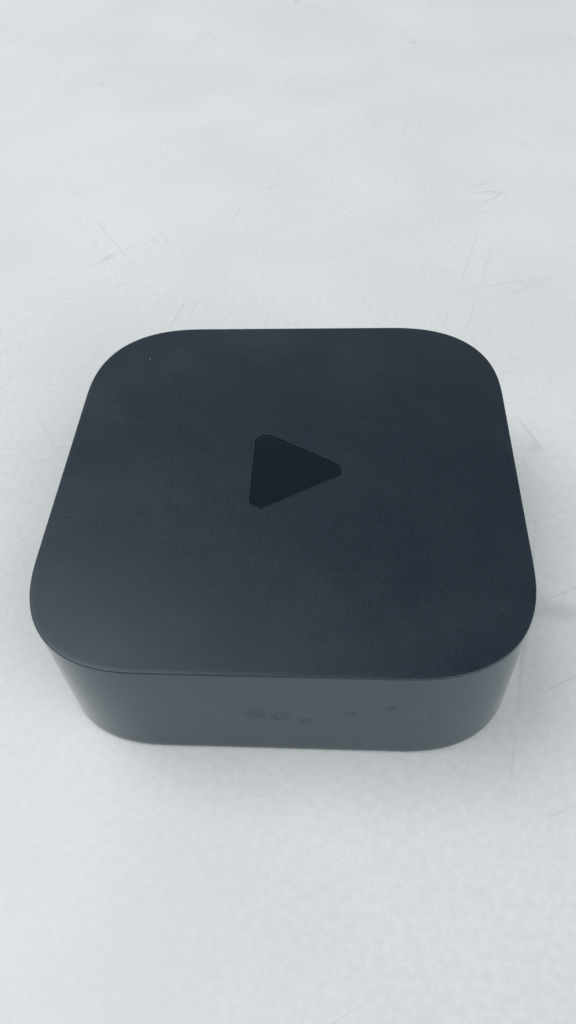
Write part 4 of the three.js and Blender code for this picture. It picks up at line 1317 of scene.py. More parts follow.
@dataclass
class Cover:
    """The lift-off cover: matt top with an inlaid sign, glossy wall, rear openings and guide ribs inside."""

    height: float = 31.0
    rim: float = 0.7
    wall: float = 1.8
    roof: float = 29.0
    edge_round: float = 0.22
    seam: float = 0.06  # depth of the fine groove under the top's edge
    rim_round: float = 0.3
    lip: float = 0.16
    light_hole: float = 0.615
    light_band: float = 1.25  # half the height of the wall's patch round the light
    light_lip: float = 0.02
    light_proud: float = 0.09  # how far the light guide's tip stands out past its node
    socket_height: float = SOCKET_MIDDLE
    light_at: tuple[float, float] = (28.0, 16.75)
    sign_reach: float = 9.1
    sign_corner: float = 2.2
    pocket_depth: float = 0.48
    fine: float = 0.5  # spacing of the wall's grid at the openings

    def openings(self) -> list[Opening]:
        """The three rear openings and the hole for the status light.

        Returns:
            The openings, with the patches of wall round them.
        """
        z = self.socket_height
        band = (z - 7.0, z + 7.0)
        x, light_z = self.light_at
        return [
            Opening(figure_eight(0.25), (17.1, z), (7.0, 27.5, *band)),
            Opening(video_outline(0.15), (-2.2, z), (-11.5, 7.0, *band)),
            Opening(network_outline(0.25), (-19.3, z), (-27.5, -11.5, *band)),
            Opening(
                circle(self.light_hole, 24),
                self.light_at,
                (x - 1.5, x + 1.5, light_z - self.light_band, light_z + self.light_band),
                Side.FRONT,
            ),
        ]

    def _spans(self) -> tuple[np.ndarray, np.ndarray, np.ndarray, np.ndarray]:
        """The x lists of the rear and front walls, and the heights of the outer and inner walls.

        Returns:
            The four lists.
        """
        end = FOOTPRINT.straight_to
        low, high = self.socket_height - 7, self.socket_height + 7
        rear = np.concatenate([[-end, -28.7], np.arange(-27.5, 27.6, self.fine), [28.7, end]])
        near_light = np.arange(26.5, 29.6, self.fine / 2)
        front = np.concatenate([np.linspace(-end, 24, 28), [25.2], near_light, [end]])
        light_z = self.light_at[1]
        band = [light_z - self.light_band, light_z + self.light_band]
        middle = np.unique(np.concatenate([np.arange(low, high + 0.1, self.fine), band]).round(4))
        foot = np.linspace(self.rim + self.rim_round, low, 6)[:-1]
        top = self.height - self.edge_round - 0.2
        outer = np.concatenate([foot, middle, np.linspace(high, top - 0.1, 9)[1:], [top]])
        inner = np.concatenate([foot, middle, np.linspace(high, self.roof - 0.8, 6)[1:]])
        return rear, front, outer, inner

    def build(self) -> None:
        """Makes and mounts the cover and what is fixed in it."""
        rear, front, outer_z, inner_z = self._spans()

        def ring(inset: float, height: float) -> np.ndarray:
            """One ring of the cover's grid."""
            return raised(FOOTPRINT.ring(inset, rear, front), height)

        surface = Surface()
        outer = np.stack([ring(0, z) for z in outer_z])
        inner = np.stack([ring(self.wall, z) for z in inner_z])
        keep_outer, keep_inner = np.ones(outer.shape[:2], bool)[1:], np.ones(inner.shape[:2], bool)[1:]
        for opening in self.openings():
            outer_loop = self._patch(outer, keep_outer, opening)
            inner_loop = self._patch(inner, keep_inner, opening)
            self._cut(surface, opening, outer_loop, inner_loop)
        surface.grid(outer, 1, True, keep_outer).grid(inner, 2, True, keep_inner)
        rim = [ring(i, z) for i, z in arc_rise(0, self.rim, self.rim_round, True, 5)][::-1]
        rim += [ring(self.wall - i, z) for i, z in arc_rise(0, self.rim, self.rim_round, True, 5)]
        surface.grid(np.stack(rim), 1, True)
        foot = self.height - self.edge_round
        seam = [(0, -0.2), (0, -0.13), (self.seam, -0.11), (self.seam, -0.06), (0, -0.04), (0, 0)]
        surface.grid(np.stack([ring(i, foot + z) for i, z in seam]), 1, True)
        edge = arc_rise(0, self.height, self.edge_round, False, 7)
        surface.grid(np.stack([ring(i, z) for i, z in edge]), 0, True)
        self._top(surface, ring(self.edge_round, self.height))
        fillet = [ring(self.wall + i, z) for i, z in arc_rise(0, self.roof, 0.8, False, 5)]
        middle = np.broadcast_to([0.0, 0.0, self.roof], fillet[-1].shape)
        inward = [fillet[-1] + (middle - fillet[-1]) * share for share in (0.3, 0.65, 1.0)]
        surface.grid(np.stack(fillet + inward), 2, True)
        self._ribs(surface)
        cover = surface.build("cover", Finish.MATT_TOP, Finish.GLOSS_WALL, Finish.INSIDE, crease=40)
        mount(cover, SHELL, "shell", "housing_shell")
        self._sign()
        self._light_rod()
        self._spreader()

    def _patch(self, wall: Grid, keep: np.ndarray, opening: Opening) -> np.ndarray:
        """Takes an opening's patch of quads out of a wall and returns the loop of points round it.

        Args:
            wall: The wall's grid.
            keep: Its mask of quads, which is changed.
            opening: The opening.

        Returns:
            The loop's points.
        """
        sign = opening.side.value
        x_from, x_to, z_from, z_to = opening.patch
        x, y = wall[0, :, 0], wall[0, :, 1]
        columns = np.where((x > x_from - 0.01) & (x < x_to + 0.01) & (y * sign > 20))[0]
        rows = np.where((wall[:, 0, 2] > z_from - 0.01) & (wall[:, 0, 2] < z_to + 0.01))[0]
        keep[rows[0] : rows[-1], columns[0] : columns[-1]] = False
        low = wall[rows[0], columns]
        high = wall[rows[-1], columns][::-1]
        end = wall[rows, columns[-1]][1:-1]
        start = wall[rows, columns[0]][1:-1][::-1]
        return np.concatenate([low, end, high, start])

    def _cut(self, surface: Surface, opening: Opening, outer: np.ndarray, inner: np.ndarray) -> None:
        """Lays the wall round an opening, rounds its lip and lines it through to the inside.

        Each ring lies between the hole's outline and the patch's border by a fixed share, at the
        wall's own y.

        Args:
            surface: Where it goes.
            opening: The opening.
            outer: The loop round it in the outer wall.
            inner: The loop round it in the inner wall.
        """
        sign = opening.side.value
        centre = np.array(opening.at)
        border = outer[:, [0, 2]] - centre
        angles = np.arctan2(border[:, 1], border[:, 0])
        hole = cast_rays(opening.outline, angles, snap=len(opening.outline) < 12)
        reach = np.linalg.norm(hole, axis=1, keepdims=True)

        def on_wall(plan: Ring, inset: float, sunk: float = 0.0) -> np.ndarray:
            """Plan points about the hole's centre, laid on the wall."""
            x, z = plan[:, 0] + centre[0], plan[:, 1] + centre[1]
            return np.stack([x, sign * (FOOTPRINT.wall_y(x, inset) - sunk), z], axis=1)

        lip = self.light_lip if opening.side is Side.FRONT else self.lip
        lipped = hole * (1 + lip / reach)
        rings = [outer] + [on_wall(lipped + (border - lipped) * share, 0) for share in (0.75, 0.5, 0.25, 0.0)]
        for turn in np.linspace(0, QUARTER_TURN, 4)[1:]:
            grown = hole * (1 + lip * (1 - math.sin(turn)) / reach)
            rings.append(on_wall(grown, 0, lip * (1 - math.cos(turn))))
        surface.grid(np.stack(rings), 1, True)
        inner_border = inner[:, [0, 2]] - centre
        inside = [on_wall(hole + (inner_border - hole) * share, self.wall) for share in (0.0, 0.5)]
        surface.grid(np.stack([rings[-1], *inside, inner]), 2, True)

    def _top(self, surface: Surface, border: np.ndarray) -> None:
        """The flat top from its edge in to the sign's pocket, and the pocket itself.

        Args:
            surface: Where it goes.
            border: The top's edge.
        """
        angles = np.arctan2(border[:, 1], border[:, 0])
        pocket = cast_rays(soft_triangle(self.sign_reach, self.sign_corner + 0.15), angles)
        span, reach = border[:, :2] - pocket, np.linalg.norm(pocket, axis=1, keepdims=True)
        rings = [border]
        rings += [raised(pocket + span * share, self.height) for share in (0.98, 0.8, 0.6, 0.4, 0.2)]
        for inset, height in reversed(arc_rise(-0.08, self.height, 0.08, False, 4)):
            rings.append(raised(pocket * (1 - inset / reach), height))
        floor = self.height - self.pocket_depth
        rings += [raised(pocket, floor), raised(pocket * 0.5, floor), raised(pocket * 0.0, floor)]
        surface.grid(np.stack(rings), 0, True)

    def _ribs(self, surface: Surface) -> None:
        """The guide ribs, in the places of the tray's tongues.

        Args:
            surface: Where they go.
        """
        thickness, depth, height, foot, outward, aside = 1.2, 2.5, 7.0, 4.9, 0.55, 4.9
        for x, y, across in tongue_places():
            for side in (-aside, aside):
                if across:
                    size, at = (thickness, depth, height), (x + side, y - outward, foot)
                else:
                    size, at = (depth, thickness, height), (x + math.copysign(outward, x), y + side, foot)
                surface.block(size, at, 0.25, slot=2)

    def _sign(self) -> None:
        """The inlaid play sign: a rounded triangle, drawn in evenly at its edges."""
        room = Room.of("top_mark")

        def outline(inset: float) -> Ring:
            """The sign's plan."""
            return soft_triangle(self.sign_reach, self.sign_corner - inset)

        sign = Surface().loft(outline, block_rise(room.low[2], room.high[2], 0.1))
        sign.fit("play_sign", "mark", "top_mark", Finish.SIGN, body=SHELL)

    def _light_rod(self) -> None:
        """The light guide: a rod with a domed tip and a flange behind the wall."""
        room = Room.of("light_pipe")
        tip, back = room.low[1] - self.light_proud, room.high[1]
        profile = [(0.0, tip), (0.45, tip + 0.002), (0.57, tip + 0.012), (0.6, tip + 0.04), (0.6, back - 0.8)]
        profile += [(1.3, back - 0.8), (1.4, back - 0.7), (1.4, back - 0.1), (1.3, back), (0.0, back)]
        at = (self.light_at[0], 0.0, self.light_at[1])
        rod = Surface().turned(profile, at, Axis.Y, 28)
        rod.fit("light_rod", "lens", "light_pipe", Finish.LIGHT_GUIDE, body=SHELL)

    def _spreader(self) -> None:
        """The graphite sheet under the roof."""
        room = Room.of("roof_heat_spreader")

        def outline(inset: float) -> Ring:
            """The sheet's plan."""
            return FOOTPRINT.ring(9.0 + inset)

        sheet = Surface().loft(outline, block_rise(room.low[2], room.high[2], 0.05))
        sheet.fit("heat_spreader_sheet", "graphite", "roof_heat_spreader", Finish.GRAPHITE, body=SHELL)


def tongue_places(reach: float = 43.8, offset: float = 15.0) -> list[tuple[float, float, bool]]:
    """x, y and whether it faces along Y, for two tongues on each side and two at the front.

    Args:
        reach: How far they are from the middle.
        offset: How far they are to each side.

    Returns:
        The places.
    """
    sides = [(sign * reach, aside, False) for sign in (1, -1) for aside in (-offset, offset)]
    return sides + [(aside, -reach, True) for aside in (-offset, offset)]


# ---------------------------------------------------------------- tray and foot


@dataclass
class Tray:
    """The base tray with its lip, tongues and bosses, the rubber foot and the lower insulating sheet."""

    inset: float = 2.1
    floor: float = 3.0
    bottom: float = 1.0
    lip_top: float = 4.6
    lip_width: float = 1.2
    recess_radius: float = 33.3
    recess_top: float = 1.65

    def build(self) -> None:
        """Makes and mounts the tray, the foot and the sheet."""
        surface = Surface()
        plan = FOOTPRINT.ring(self.inset)
        angles = np.arctan2(plan[:, 1], plan[:, 0])
        round_plan = np.stack([np.cos(angles), np.sin(angles)], axis=1)
        rings = [raised(round_plan * radius, self.recess_top) for radius in (0.0, 20.0, self.recess_radius)]
        rings += [raised(round_plan * (self.recess_radius + d), self.bottom + 0.15 - d) for d in (0.0, 0.15)]
        low, high = arc_rise(0, self.bottom, 0.25, True), arc_rise(0, self.lip_top, 0.25, False)
        rings += [raised(FOOTPRINT.ring(self.inset + i), z) for i, z in low + high]
        inside = self.inset + self.lip_width
        rings += [raised(FOOTPRINT.ring(inside - i), z) for i, z in high[::-1]]
        rings += [raised(FOOTPRINT.ring(inside + i), z) for i, z in arc_rise(0, self.floor, 0.3, True)[::-1]]
        rings += [raised(FOOTPRINT.ring(inside + 9), self.floor), raised(plan * 0.0, self.floor)]
        surface.grid(np.stack(rings), 0, True)
        for x, y, across in tongue_places():
            size = (8.0, 1.2, 6.5) if across else (1.2, 8.0, 6.5)
            surface.block(size, (x, y, self.floor - 0.5), 0.3)
        boss = [(0, 2.5), (3.4, 2.5), (3.4, 2.9), (3.2, 3.2), (3.2, 4.6), (3.05, 4.75), (1.7, 4.75)]
        boss += [(1.55, 4.6), (1.55, 2.0), (0, 2.0)]
        for x, y in clamp_places():
            surface.turned(boss, (x, y, 0), steps=36)
        surface.fit("tray", "tray", "base_tray", Finish.TRAY)
        self._foot()
        self._sheet()

    def _foot(self) -> None:
        """The foot: a disc with a rounded rim and two shallow grooves underneath."""
        profile = [(0.0, 0.0)]
        for groove in (20.0, 29.6):
            profile += [(groove, 0.0), (groove + 0.2, 0.12), (groove + 0.8, 0.12), (groove + 1.0, 0.0)]
        profile += [(32.6, 0.0), (32.85, 0.1), (33.0, 0.35), (33.0, 1.5), (32.9, 1.6), (0.0, 1.6)]
        foot = Surface().turned(profile, (0, 0, 0), steps=160)
        foot.fit("rubber_disc", "rubber", "rubber_foot", Finish.RUBBER)

    def _sheet(self) -> None:
        """The lower sheet, which keeps its node's shape: its four holes fit round the bosses."""
        dress("lower_insulator", Finish.SHEET)


def clamp_places() -> list[tuple[float, float]]:
    """x and y of the four clamping points."""
    return [(-CLAMP, -CLAMP), (CLAMP, -CLAMP), (CLAMP, CLAMP), (-CLAMP, CLAMP)]


def keep_off(*nodes: str) -> list[Room]:
    """The rooms of some nodes and of the four clamping points, which small parts stay clear of.

    Args:
        nodes: The nodes' names.

    Returns:
        The rooms.
    """
    corners = [(np.array([x, y, 0.0]), np.array([3.5, 3.5, 9.0])) for x, y in clamp_places()]
    return [Room.of(node) for node in nodes] + [Room(at - reach, at + reach) for at, reach in corners]


def middles(low: float, length: float, count: int) -> list[float]:
    """The middles of equal parts of a stretch."""
    return [low + length * (index + 0.5) / count for index in range(count)]


def dress(node: str, finish: Finish) -> None:
    """Gives a frame node that keeps its own shape a detailed finish.

    Args:
        node: The node's name.
        finish: The finish.
    """
    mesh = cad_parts[node].data
    mesh.materials.clear()
    mesh.materials.append(finish.material)
    log.info("%s keeps its shape and is dressed in %s", node, finish.value.name)


# ---------------------------------------------------------------- boards and what stands on them


def strip_plate(
    surface: Surface, x: np.ndarray, low: np.ndarray, high: np.ndarray, z: tuple[float, float], slot: int = 0
) -> None:
    """Adds a flat plate that spans, at each x, from a low y to a high y.

    Going round a section at one x, the four corners are the low and high y at the lower and upper z.

    Args:
        surface: Where it goes.
        x: Rising x values.
        low: The plate's lower y at each.
        high: The plate's upper y at each.
        z: The heights of its two faces.
        slot: Which of the piece's finishes it has.
    """
    corners = [(low, z[0]), (high, z[0]), (high, z[1]), (low, z[1])]
    loop = np.stack([np.stack([x, y, np.full(len(x), level)], axis=1) for y, level in corners], axis=1)
    surface.grid(loop, slot, wrap=True)
    for end in (0, -1):
        surface.grid(np.stack([loop[end, :2], loop[end, [3, 2]]]), slot)


def box_spans(inset: float, steps: Sequence[float] = ()) -> tuple[np.ndarray, np.ndarray]:
    """x values across the box's outline, and the outline's half depth at each.

    Args:
        inset: How far inside the cover's outside the outline lies.
        steps: Where the plate steps in depth. Each has a pair of x.

    Returns:
        x, rising, and the half depths.
    """
    ring = FOOTPRINT.ring(inset)
    x = ring[ring[:, 1] > 1e-6][:, 0]
    x = x[np.abs(x) < FOOTPRINT.width / 2 - inset - 1e-3]
    edge = FOOTPRINT.width / 2 - inset
    paired = [value + nudge for value in steps for nudge in (-0.01, 0.01)]
    x = np.unique(np.concatenate([x, paired, [-edge, edge]]).round(5))
    return x, FOOTPRINT.wall_y(x, inset)


@dataclass
class SmallParts:
    """Hundreds of small surface-mounted parts: bodies with plated ends, in rows on a grid."""

    name: str
    count: int
    level: float  # height of the face that they stand on, in millimetres
    under: bool
    seed: int
    keep_off: list[Room]
    spread: float = 39.0
    pitch: float = 1.9

    def build(self) -> None:
        """Places the parts on a grid, away from the larger ones, and mounts them as one piece."""
        rng = np.random.default_rng(self.seed)
        side = int(self.spread / self.pitch)
        line = np.arange(-side, side + 1)
        spots = np.stack(np.meshgrid(line, line), -1).reshape(-1, 2)
        spots = spots[rng.permutation(len(spots))] * self.pitch
        half = FOOTPRINT.wall_y(spots[:, 0], 6.5)
        free = (np.abs(spots[:, 1]) < half) & (np.abs(spots[:, 0]) < 39.5)
        for room in self.keep_off:
            inside = (spots > room.low[:2] - 1.3) & (spots < room.high[:2] + 1.3)
            free &= ~inside.all(axis=1)
        spots = spots[free][: self.count]
        cross = rng.random((len(spots), 1)) < 0.5
        big = rng.random((len(spots), 1)) < 0.25
        dark = rng.random(len(spots)) < 0.45
        size = np.where(big, [[1.6, 0.85, 0.6]], [[1.05, 0.55, 0.4]])
        end = size[:, :1] * 0.24
        level = np.full((len(spots), 1), self.level) - (size[:, 2:] if self.under else 0.0)
        at = np.concatenate([spots, level], axis=1)
        body = np.concatenate([size[:, :1] - 2 * end + 0.05, size[:, 1:] * 0.94], axis=1)
        cap = np.concatenate([end, size[:, 1:]], axis=1)
        shift = np.concatenate([(size[:, :1] - end) / 2, np.zeros((len(spots), 2))], axis=1)
        body, cap, shift = (np.where(cross, part[:, [1, 0, 2]], part) for part in (body, cap, shift))
        surface = Surface().crumbs(body[dark], at[dark], 0).crumbs(body[~dark], at[~dark], 1)
        surface.crumbs(cap, at + shift, 2).crumbs(cap, at - shift, 2)
        piece = surface.build(self.name, Finish.CHIP, Finish.BODY_TAN, Finish.TIN)
        mount(piece, BASE, "chip")


@dataclass
class Chip:
    """A packaged part: a moulded cap on a substrate, or a body with legs, and a printed dot at its first
    corner.
    """

    node: str
    finish: Finish = Finish.CHIP
    slot: str = "chip"
    legs: int = 0  # on each long side
    lid: float = 0.4  # how far the cap is set in
    substrate: float = 0.28  # share of the height
    print: float = 0.02  # how far the printed dot stands proud

    def build(self) -> None:
        """Makes and mounts the part."""
        room = Room.of(self.node)
        width, depth, height = room.size
        surface = Surface()
        if self.legs:
            self._legged(surface, room)
        else:
            base = height * self.substrate
            surface.block((width, depth, base), room.foot, 0.05, slot=1)
            cap = (width - 2 * self.lid, depth - 2 * self.lid, height - base - self.print)
            surface.block(cap, room.foot + [0, 0, base], 0.12, 0.3)
        corner = np.array([room.low[0] + 1.5, room.high[1] - 1.5, room.high[2] - 0.1])
        surface.turned([(0, 0), (0.36, 0), (0.36, 0.09), (0.33, 0.1), (0, 0.1)], corner, steps=20, slot=2)
        base_finish = Finish.TIN if self.legs else Finish.LOGIC_MASK
        piece = surface.build(f"{self.node}_body", self.finish, base_finish, Finish.PRINT)
        mount(piece, BASE, self.slot, self.node)

    def _legged(self, surface: Surface, room: Room) -> None:
        """A body with bent legs along both of its sides that face along X.

        Args:
            surface: Where it goes.
            room: The part's room.
        """
        width, depth, height = room.size
        reach = 0.7
        body = (width - 2 * reach, depth, height * 0.9 - self.print)
        surface.block(body, room.foot + [0, 0, height * 0.1], 0.15, 0.2)
        for y in middles(room.low[1], depth, self.legs):
            for side in (-1, 1):
                edge = room.centre[0] + side * (width / 2 - reach)
                shoulder = (edge + side * reach * 0.2, y, room.low[2] + height * 0.45)
                surface.block((reach * 1.4, 0.3, 0.16), shoulder, 0.04, slot=1)
                foot = (edge + side * reach * 0.8, y, room.low[2])
                surface.block((0.16, 0.3, height * 0.5), foot, 0.04, slot=1)


@dataclass
class PowerSupply:
    """The power supply board, its parts and the insulating sheet above them."""

    board_inset: float = 4.0
    can_steps: int = 48
    stripe_steps: int = 7
    stripe_rows: slice = field(default_factory=lambda: slice(12, -8))

    def build(self) -> None:
        """Makes and mounts the board and every part on it."""
        self._board()
        self._cans()
        self._transformer()
        self._choke()
        self._inductor()
        self._disc()
        self._boxed()
        self._link()
        dress("upper_insulator", Finish.SHEET)
        parts = ("bulk_capacitor", "output_capacitor_1", "output_capacitor_2", "transformer_core")
        parts += ("line_choke", "output_inductor", "safety_capacitor", "filter_capacitor", "mains_fuse")
        parts += ("bridge_rectifier", "switch_transistor", "optocoupler", "power_link_socket")
        rooms = keep_off(*parts, "inlet_housing", "network_socket_shield")
        SmallParts("power_small_parts", 150, POWER_TOP, False, 11, rooms).build()

    def _board(self) -> None:
        """The board, with a fine outline."""
        room = Room.of("power_board")
        surface = Surface()
        x, half = box_spans(self.board_inset)
        strip_plate(surface, x, -half, half, (room.low[2], room.high[2]))
        surface.fit("power_supply_board", "power_board", "power_board", Finish.POWER_MASK)

    @staticmethod
    def _can_profile(radius: float, length: float) -> list[tuple[float, float]]:
        """A can from its bung up.

        It has a rolled groove, a sleeve that laps onto the end, and a bare end with a rim.

        Args:
            radius: The can's radius.
            length: Its length.

        Returns:
            The (radius, height) pairs.
        """
        foot = [(0, 0.3), (radius - 0.9, 0.3), (radius - 0.8, 0), (radius - 0.3, 0), (radius, 0.3)]
        groove = [(radius, 1.4), (radius - 0.35, 1.75), (radius - 0.45, 2.0)]
        groove += [(radius - 0.35, 2.25), (radius, 2.6)]
        return foot + groove + [(radius, length - 0.35), (radius - 0.3, length), (radius - 0.7, length)]

    def _can(self, name: str, node: str, axis: Axis) -> None:
        """One electrolytic can, with a bare end that is scored with a cross.

        Args:
            name: The piece's name.
            node: Its node's name.
            axis: What its length runs along.
        """
        room = Room.of(node)
        radius = room.size[0] / 2
        length = room.size[1] if axis is Axis.Y else room.size[2]
        at = (room.centre[0], room.low[1], room.centre[2]) if axis is Axis.Y else room.foot
        surface = Surface()
        profile = self._can_profile(radius, length)
        surface.turned([*profile, (radius - 0.75, length - 0.12), (0, length - 0.12)], at, axis)
        stripe = surface.slots[-1].reshape(-1, self.can_steps)
        stripe[self.stripe_rows, : self.stripe_steps] = 2
        low, high = length - 0.3, length - 0.05
        surface.turned([(0, low), (radius - 0.78, low), (radius - 0.8, high), (0, high)], at, axis, slot=1)
        for span in ((radius * 1.3, 0.18, 0.03), (0.18, radius * 1.3, 0.03)):
            bar = np.concatenate(Surface().block(span, (0, 0, length - 0.07), 0.01).points)
            surface.grid(turned_to(bar.reshape(-1, 20, 3), axis) + np.array(at), 0, True)
        surface.fit(name, "capacitor_can", node, Finish.SLEEVE, Finish.TIN, Finish.STRIPE)

    def _cans(self) -> None:
        """The bulk capacitor on its side, and two upright output capacitors."""
        self._can("bulk_can", "bulk_capacitor", Axis.Y)
        for number in (1, 2):
            self._can(f"output_can_{number}", f"output_capacitor_{number}", Axis.Z)

    def _transformer(self) -> None:
        """The core of two yokes and two outer legs, and the taped winding with its bobbin and pins."""
        core, coil = Room.of("transformer_core"), Room.of("transformer_winding")
        width, length, thick = core.size
        surface, bar, leg = Surface(), 3.0, 4.0
        for side in (-1, 1):
            surface.block((bar, length, thick), core.foot + [side * (width - bar) / 2, 0, 0], 0.35)
            surface.block((width, bar, thick), core.foot + [0, side * (length - bar) / 2, 0], 0.35)
        surface.block((leg, length - 1, thick), core.foot, 0.2)
        surface.fit("transformer_ferrite", "ferrite", "transformer_core", Finish.FERRITE)
        wound = Surface()
        depth = coil.size[1]

        def section(inset: float) -> Ring:
            """The winding's section, square to Y. Its plan axes are z and x."""
            return soft_rectangle(coil.size[2] - 2 * inset, coil.size[0] - 2 * inset, 2.2 - inset, 8)

        rise = [(0.0, 0), (0.0, 0.9), (0.55, 0.95), (0.45, 1.2), (0.42, depth / 2), (0.45, depth - 1.2)]
        rise += [(0.55, depth - 0.95), (0.0, depth - 0.9), (0.0, depth)]
        wound.loft(section, rise, (coil.centre[0], coil.low[1], coil.centre[2]), Axis.Y)
        for index in range(5):
            for side in (-1, 1):
                x, y = coil.centre[0] + (index - 2) * 2.5, coil.centre[1] + side * (depth / 2 - 0.5)
                wound.block((0.6, 0.6, 2.2), (x, y, POWER_TOP + 0.05), 0.1, slot=1)
        wound.fit("transformer_coil", "winding", "transformer_winding", Finish.TAPE, Finish.TIN)

    def _choke(self) -> None:
        """A ring core and two wound halves: a wire that turns round the ring as it goes along it."""
        room = Room.of("line_choke")
        outer, hole, wire, cover, square = room.size[0] / 2, 2.6, 0.42, 1.1, 0.45
        ring_radius, half_width, half_height = (outer + hole) / 2, (outer - hole) / 2, room.size[2] / 2
        near, far = ring_radius - half_width + cover, ring_radius + half_width - cover
        low, high = -half_height + cover, half_height - cover
        core = [(near, low), (far, low), (far, high), (near, high), (near, low)]
        rings = np.stack([raised(circle(radius, 64), z) for radius, z in core])
        surface = Surface().grid(rings + room.centre, 0, True)
        share = np.linspace(0, 1, 900)
        turn = share * 2 * HALF_TURN * 15
        out = (half_width - wire) * np.sign(np.cos(turn)) * np.abs(np.cos(turn)) ** square
        up = (half_height - wire) * np.sign(np.sin(turn)) * np.abs(np.sin(turn)) ** square
        radius = ring_radius + out
        for start in (0.25, 0.25 + HALF_TURN):
            along = start + share * (HALF_TURN - 0.5)
            path = np.stack([radius * np.cos(along), radius * np.sin(along), up], axis=1)
            surface.tube(path + room.centre, wire, 7, slot=1)
        surface.fit("line_choke_coil", "copper", "line_choke", Finish.FERRITE, Finish.ENAMEL)

    def _inductor(self) -> None:
        """A drum core with a layer of wire: rounded ridges between two flanges."""
        room = Room.of("output_inductor")
        radius, height = room.size[0] / 2, room.size[2]
        flange = [(0, 0), (radius - 0.2, 0), (radius, 0.2), (radius, 1.0), (radius - 0.2, 1.2), (3.0, 1.2)]
        drum = flange + [(r, height - z) for r, z in flange[::-1]]
        surface = Surface().turned(drum, room.foot)
        z = np.linspace(1.25, height - 1.25, 73)
        ridge = 3.3 + 0.28 * np.abs(np.sin((z - 1.25) / (height - 2.5) * HALF_TURN * 9))
        coil = [(3.02, 1.25), *zip(ridge.tolist(), z.tolist()), (3.02, height - 1.25)]
        surface.turned(coil, room.foot, slot=1)
        surface.fit("output_drum_coil", "ferrite", "output_inductor", Finish.FERRITE, Finish.ENAMEL)

    def _disc(self) -> None:
        """The dipped disc on its two wires: a lens section with a full, rounded rim."""
        room = Room.of("safety_capacitor")
        radius, thick = room.size[0] / 2, room.size[1]
        turn = np.linspace(-QUARTER_TURN, QUARTER_TURN, 15)
        across = np.sign(np.cos(turn)) * np.abs(np.cos(turn)) ** 0.5 * radius
        profile = list(zip(across.tolist(), (thick / 2 * (1 + np.sin(turn))).tolist()))
        surface = Surface().turned(profile, (room.centre[0], room.low[1], room.centre[2]), Axis.Y)
        for side in (-1, 1):
            path = np.array([[side * 2.5, 0, z] for z in (-3.0, -3.6, -4.2)]) + room.centre
            path[:, 2] = np.maximum(path[:, 2], room.low[2] - 0.3)
            surface.tube(path, 0.3, 8, slot=1)
        surface.fit("safety_disc", "capacitor_disc", "safety_capacitor", Finish.DISC, Finish.TIN)

    def _boxed(self) -> None:
        """The film capacitor, fuse, rectifier, switching transistor and optocoupler."""
        for name, node, finish, slot in (
            ("film_box", "filter_capacitor", Finish.FILM, "film_case"),
            ("fuse_box", "mains_fuse", Finish.PLASTIC, "black_plastic"),
        ):
            room = Room.of(node)
            width, depth, _ = room.size
            surface = Surface().block(room.size, room.foot, 0.5, 0.6)
            raised_lid = [*room.centre[:2], room.high[2] - 0.13]
            surface.block((width - 1.6, depth - 1.6, 0.16), raised_lid, 0.06, 0.3)
            surface.fit(name, slot, node, finish)
        Chip("bridge_rectifier", legs=2).build()
        Chip("optocoupler", legs=2, slot="black_plastic").build()
        self._transistor()

    def _transistor(self) -> None:
        """An upright package: a moulded body, a metal tab and three legs."""
        room = Room.of("switch_transistor")
        width, depth, height = room.size
        surface = Surface().block((width, depth * 0.75, height * 0.62), room.foot + [0, 0.2, 1.4], 0.2)
        tab = np.array([room.centre[0], room.low[1] + 0.25, room.low[2] + 1.6])
        surface.block((width, 0.5, height - 1.7), tab, 0.12, slot=1)
        for index in (-1, 0, 1):
            surface.block((0.6, 0.35, 1.6), room.foot + [index * 2.54, 0.2, 0], 0.08, slot=1)
        surface.fit("switch_package", "chip", "switch_transistor", Finish.CHIP, Finish.TIN)

    def _link(self) -> None:
        """The board-to-board link: a ribbed socket with contacts, and a plug that goes down into it."""
        for name, node in (("link_socket", "power_link_socket"), ("link_plug", "power_link_plug")):
            room = Room.of(node)
            width, depth, height = room.size
            surface = Surface().block((width - 0.5, depth, height), room.foot, 0.25, 0.3)
            for y in middles(room.low[1], depth, 6):
                at = (room.centre[0], y, room.low[2] + height * 0.14)
                surface.block((width, 0.9, height * 0.72), at, 0.12, slot=1)
            surface.fit(name, "black_plastic", node, Finish.PLASTIC, Finish.TIN)


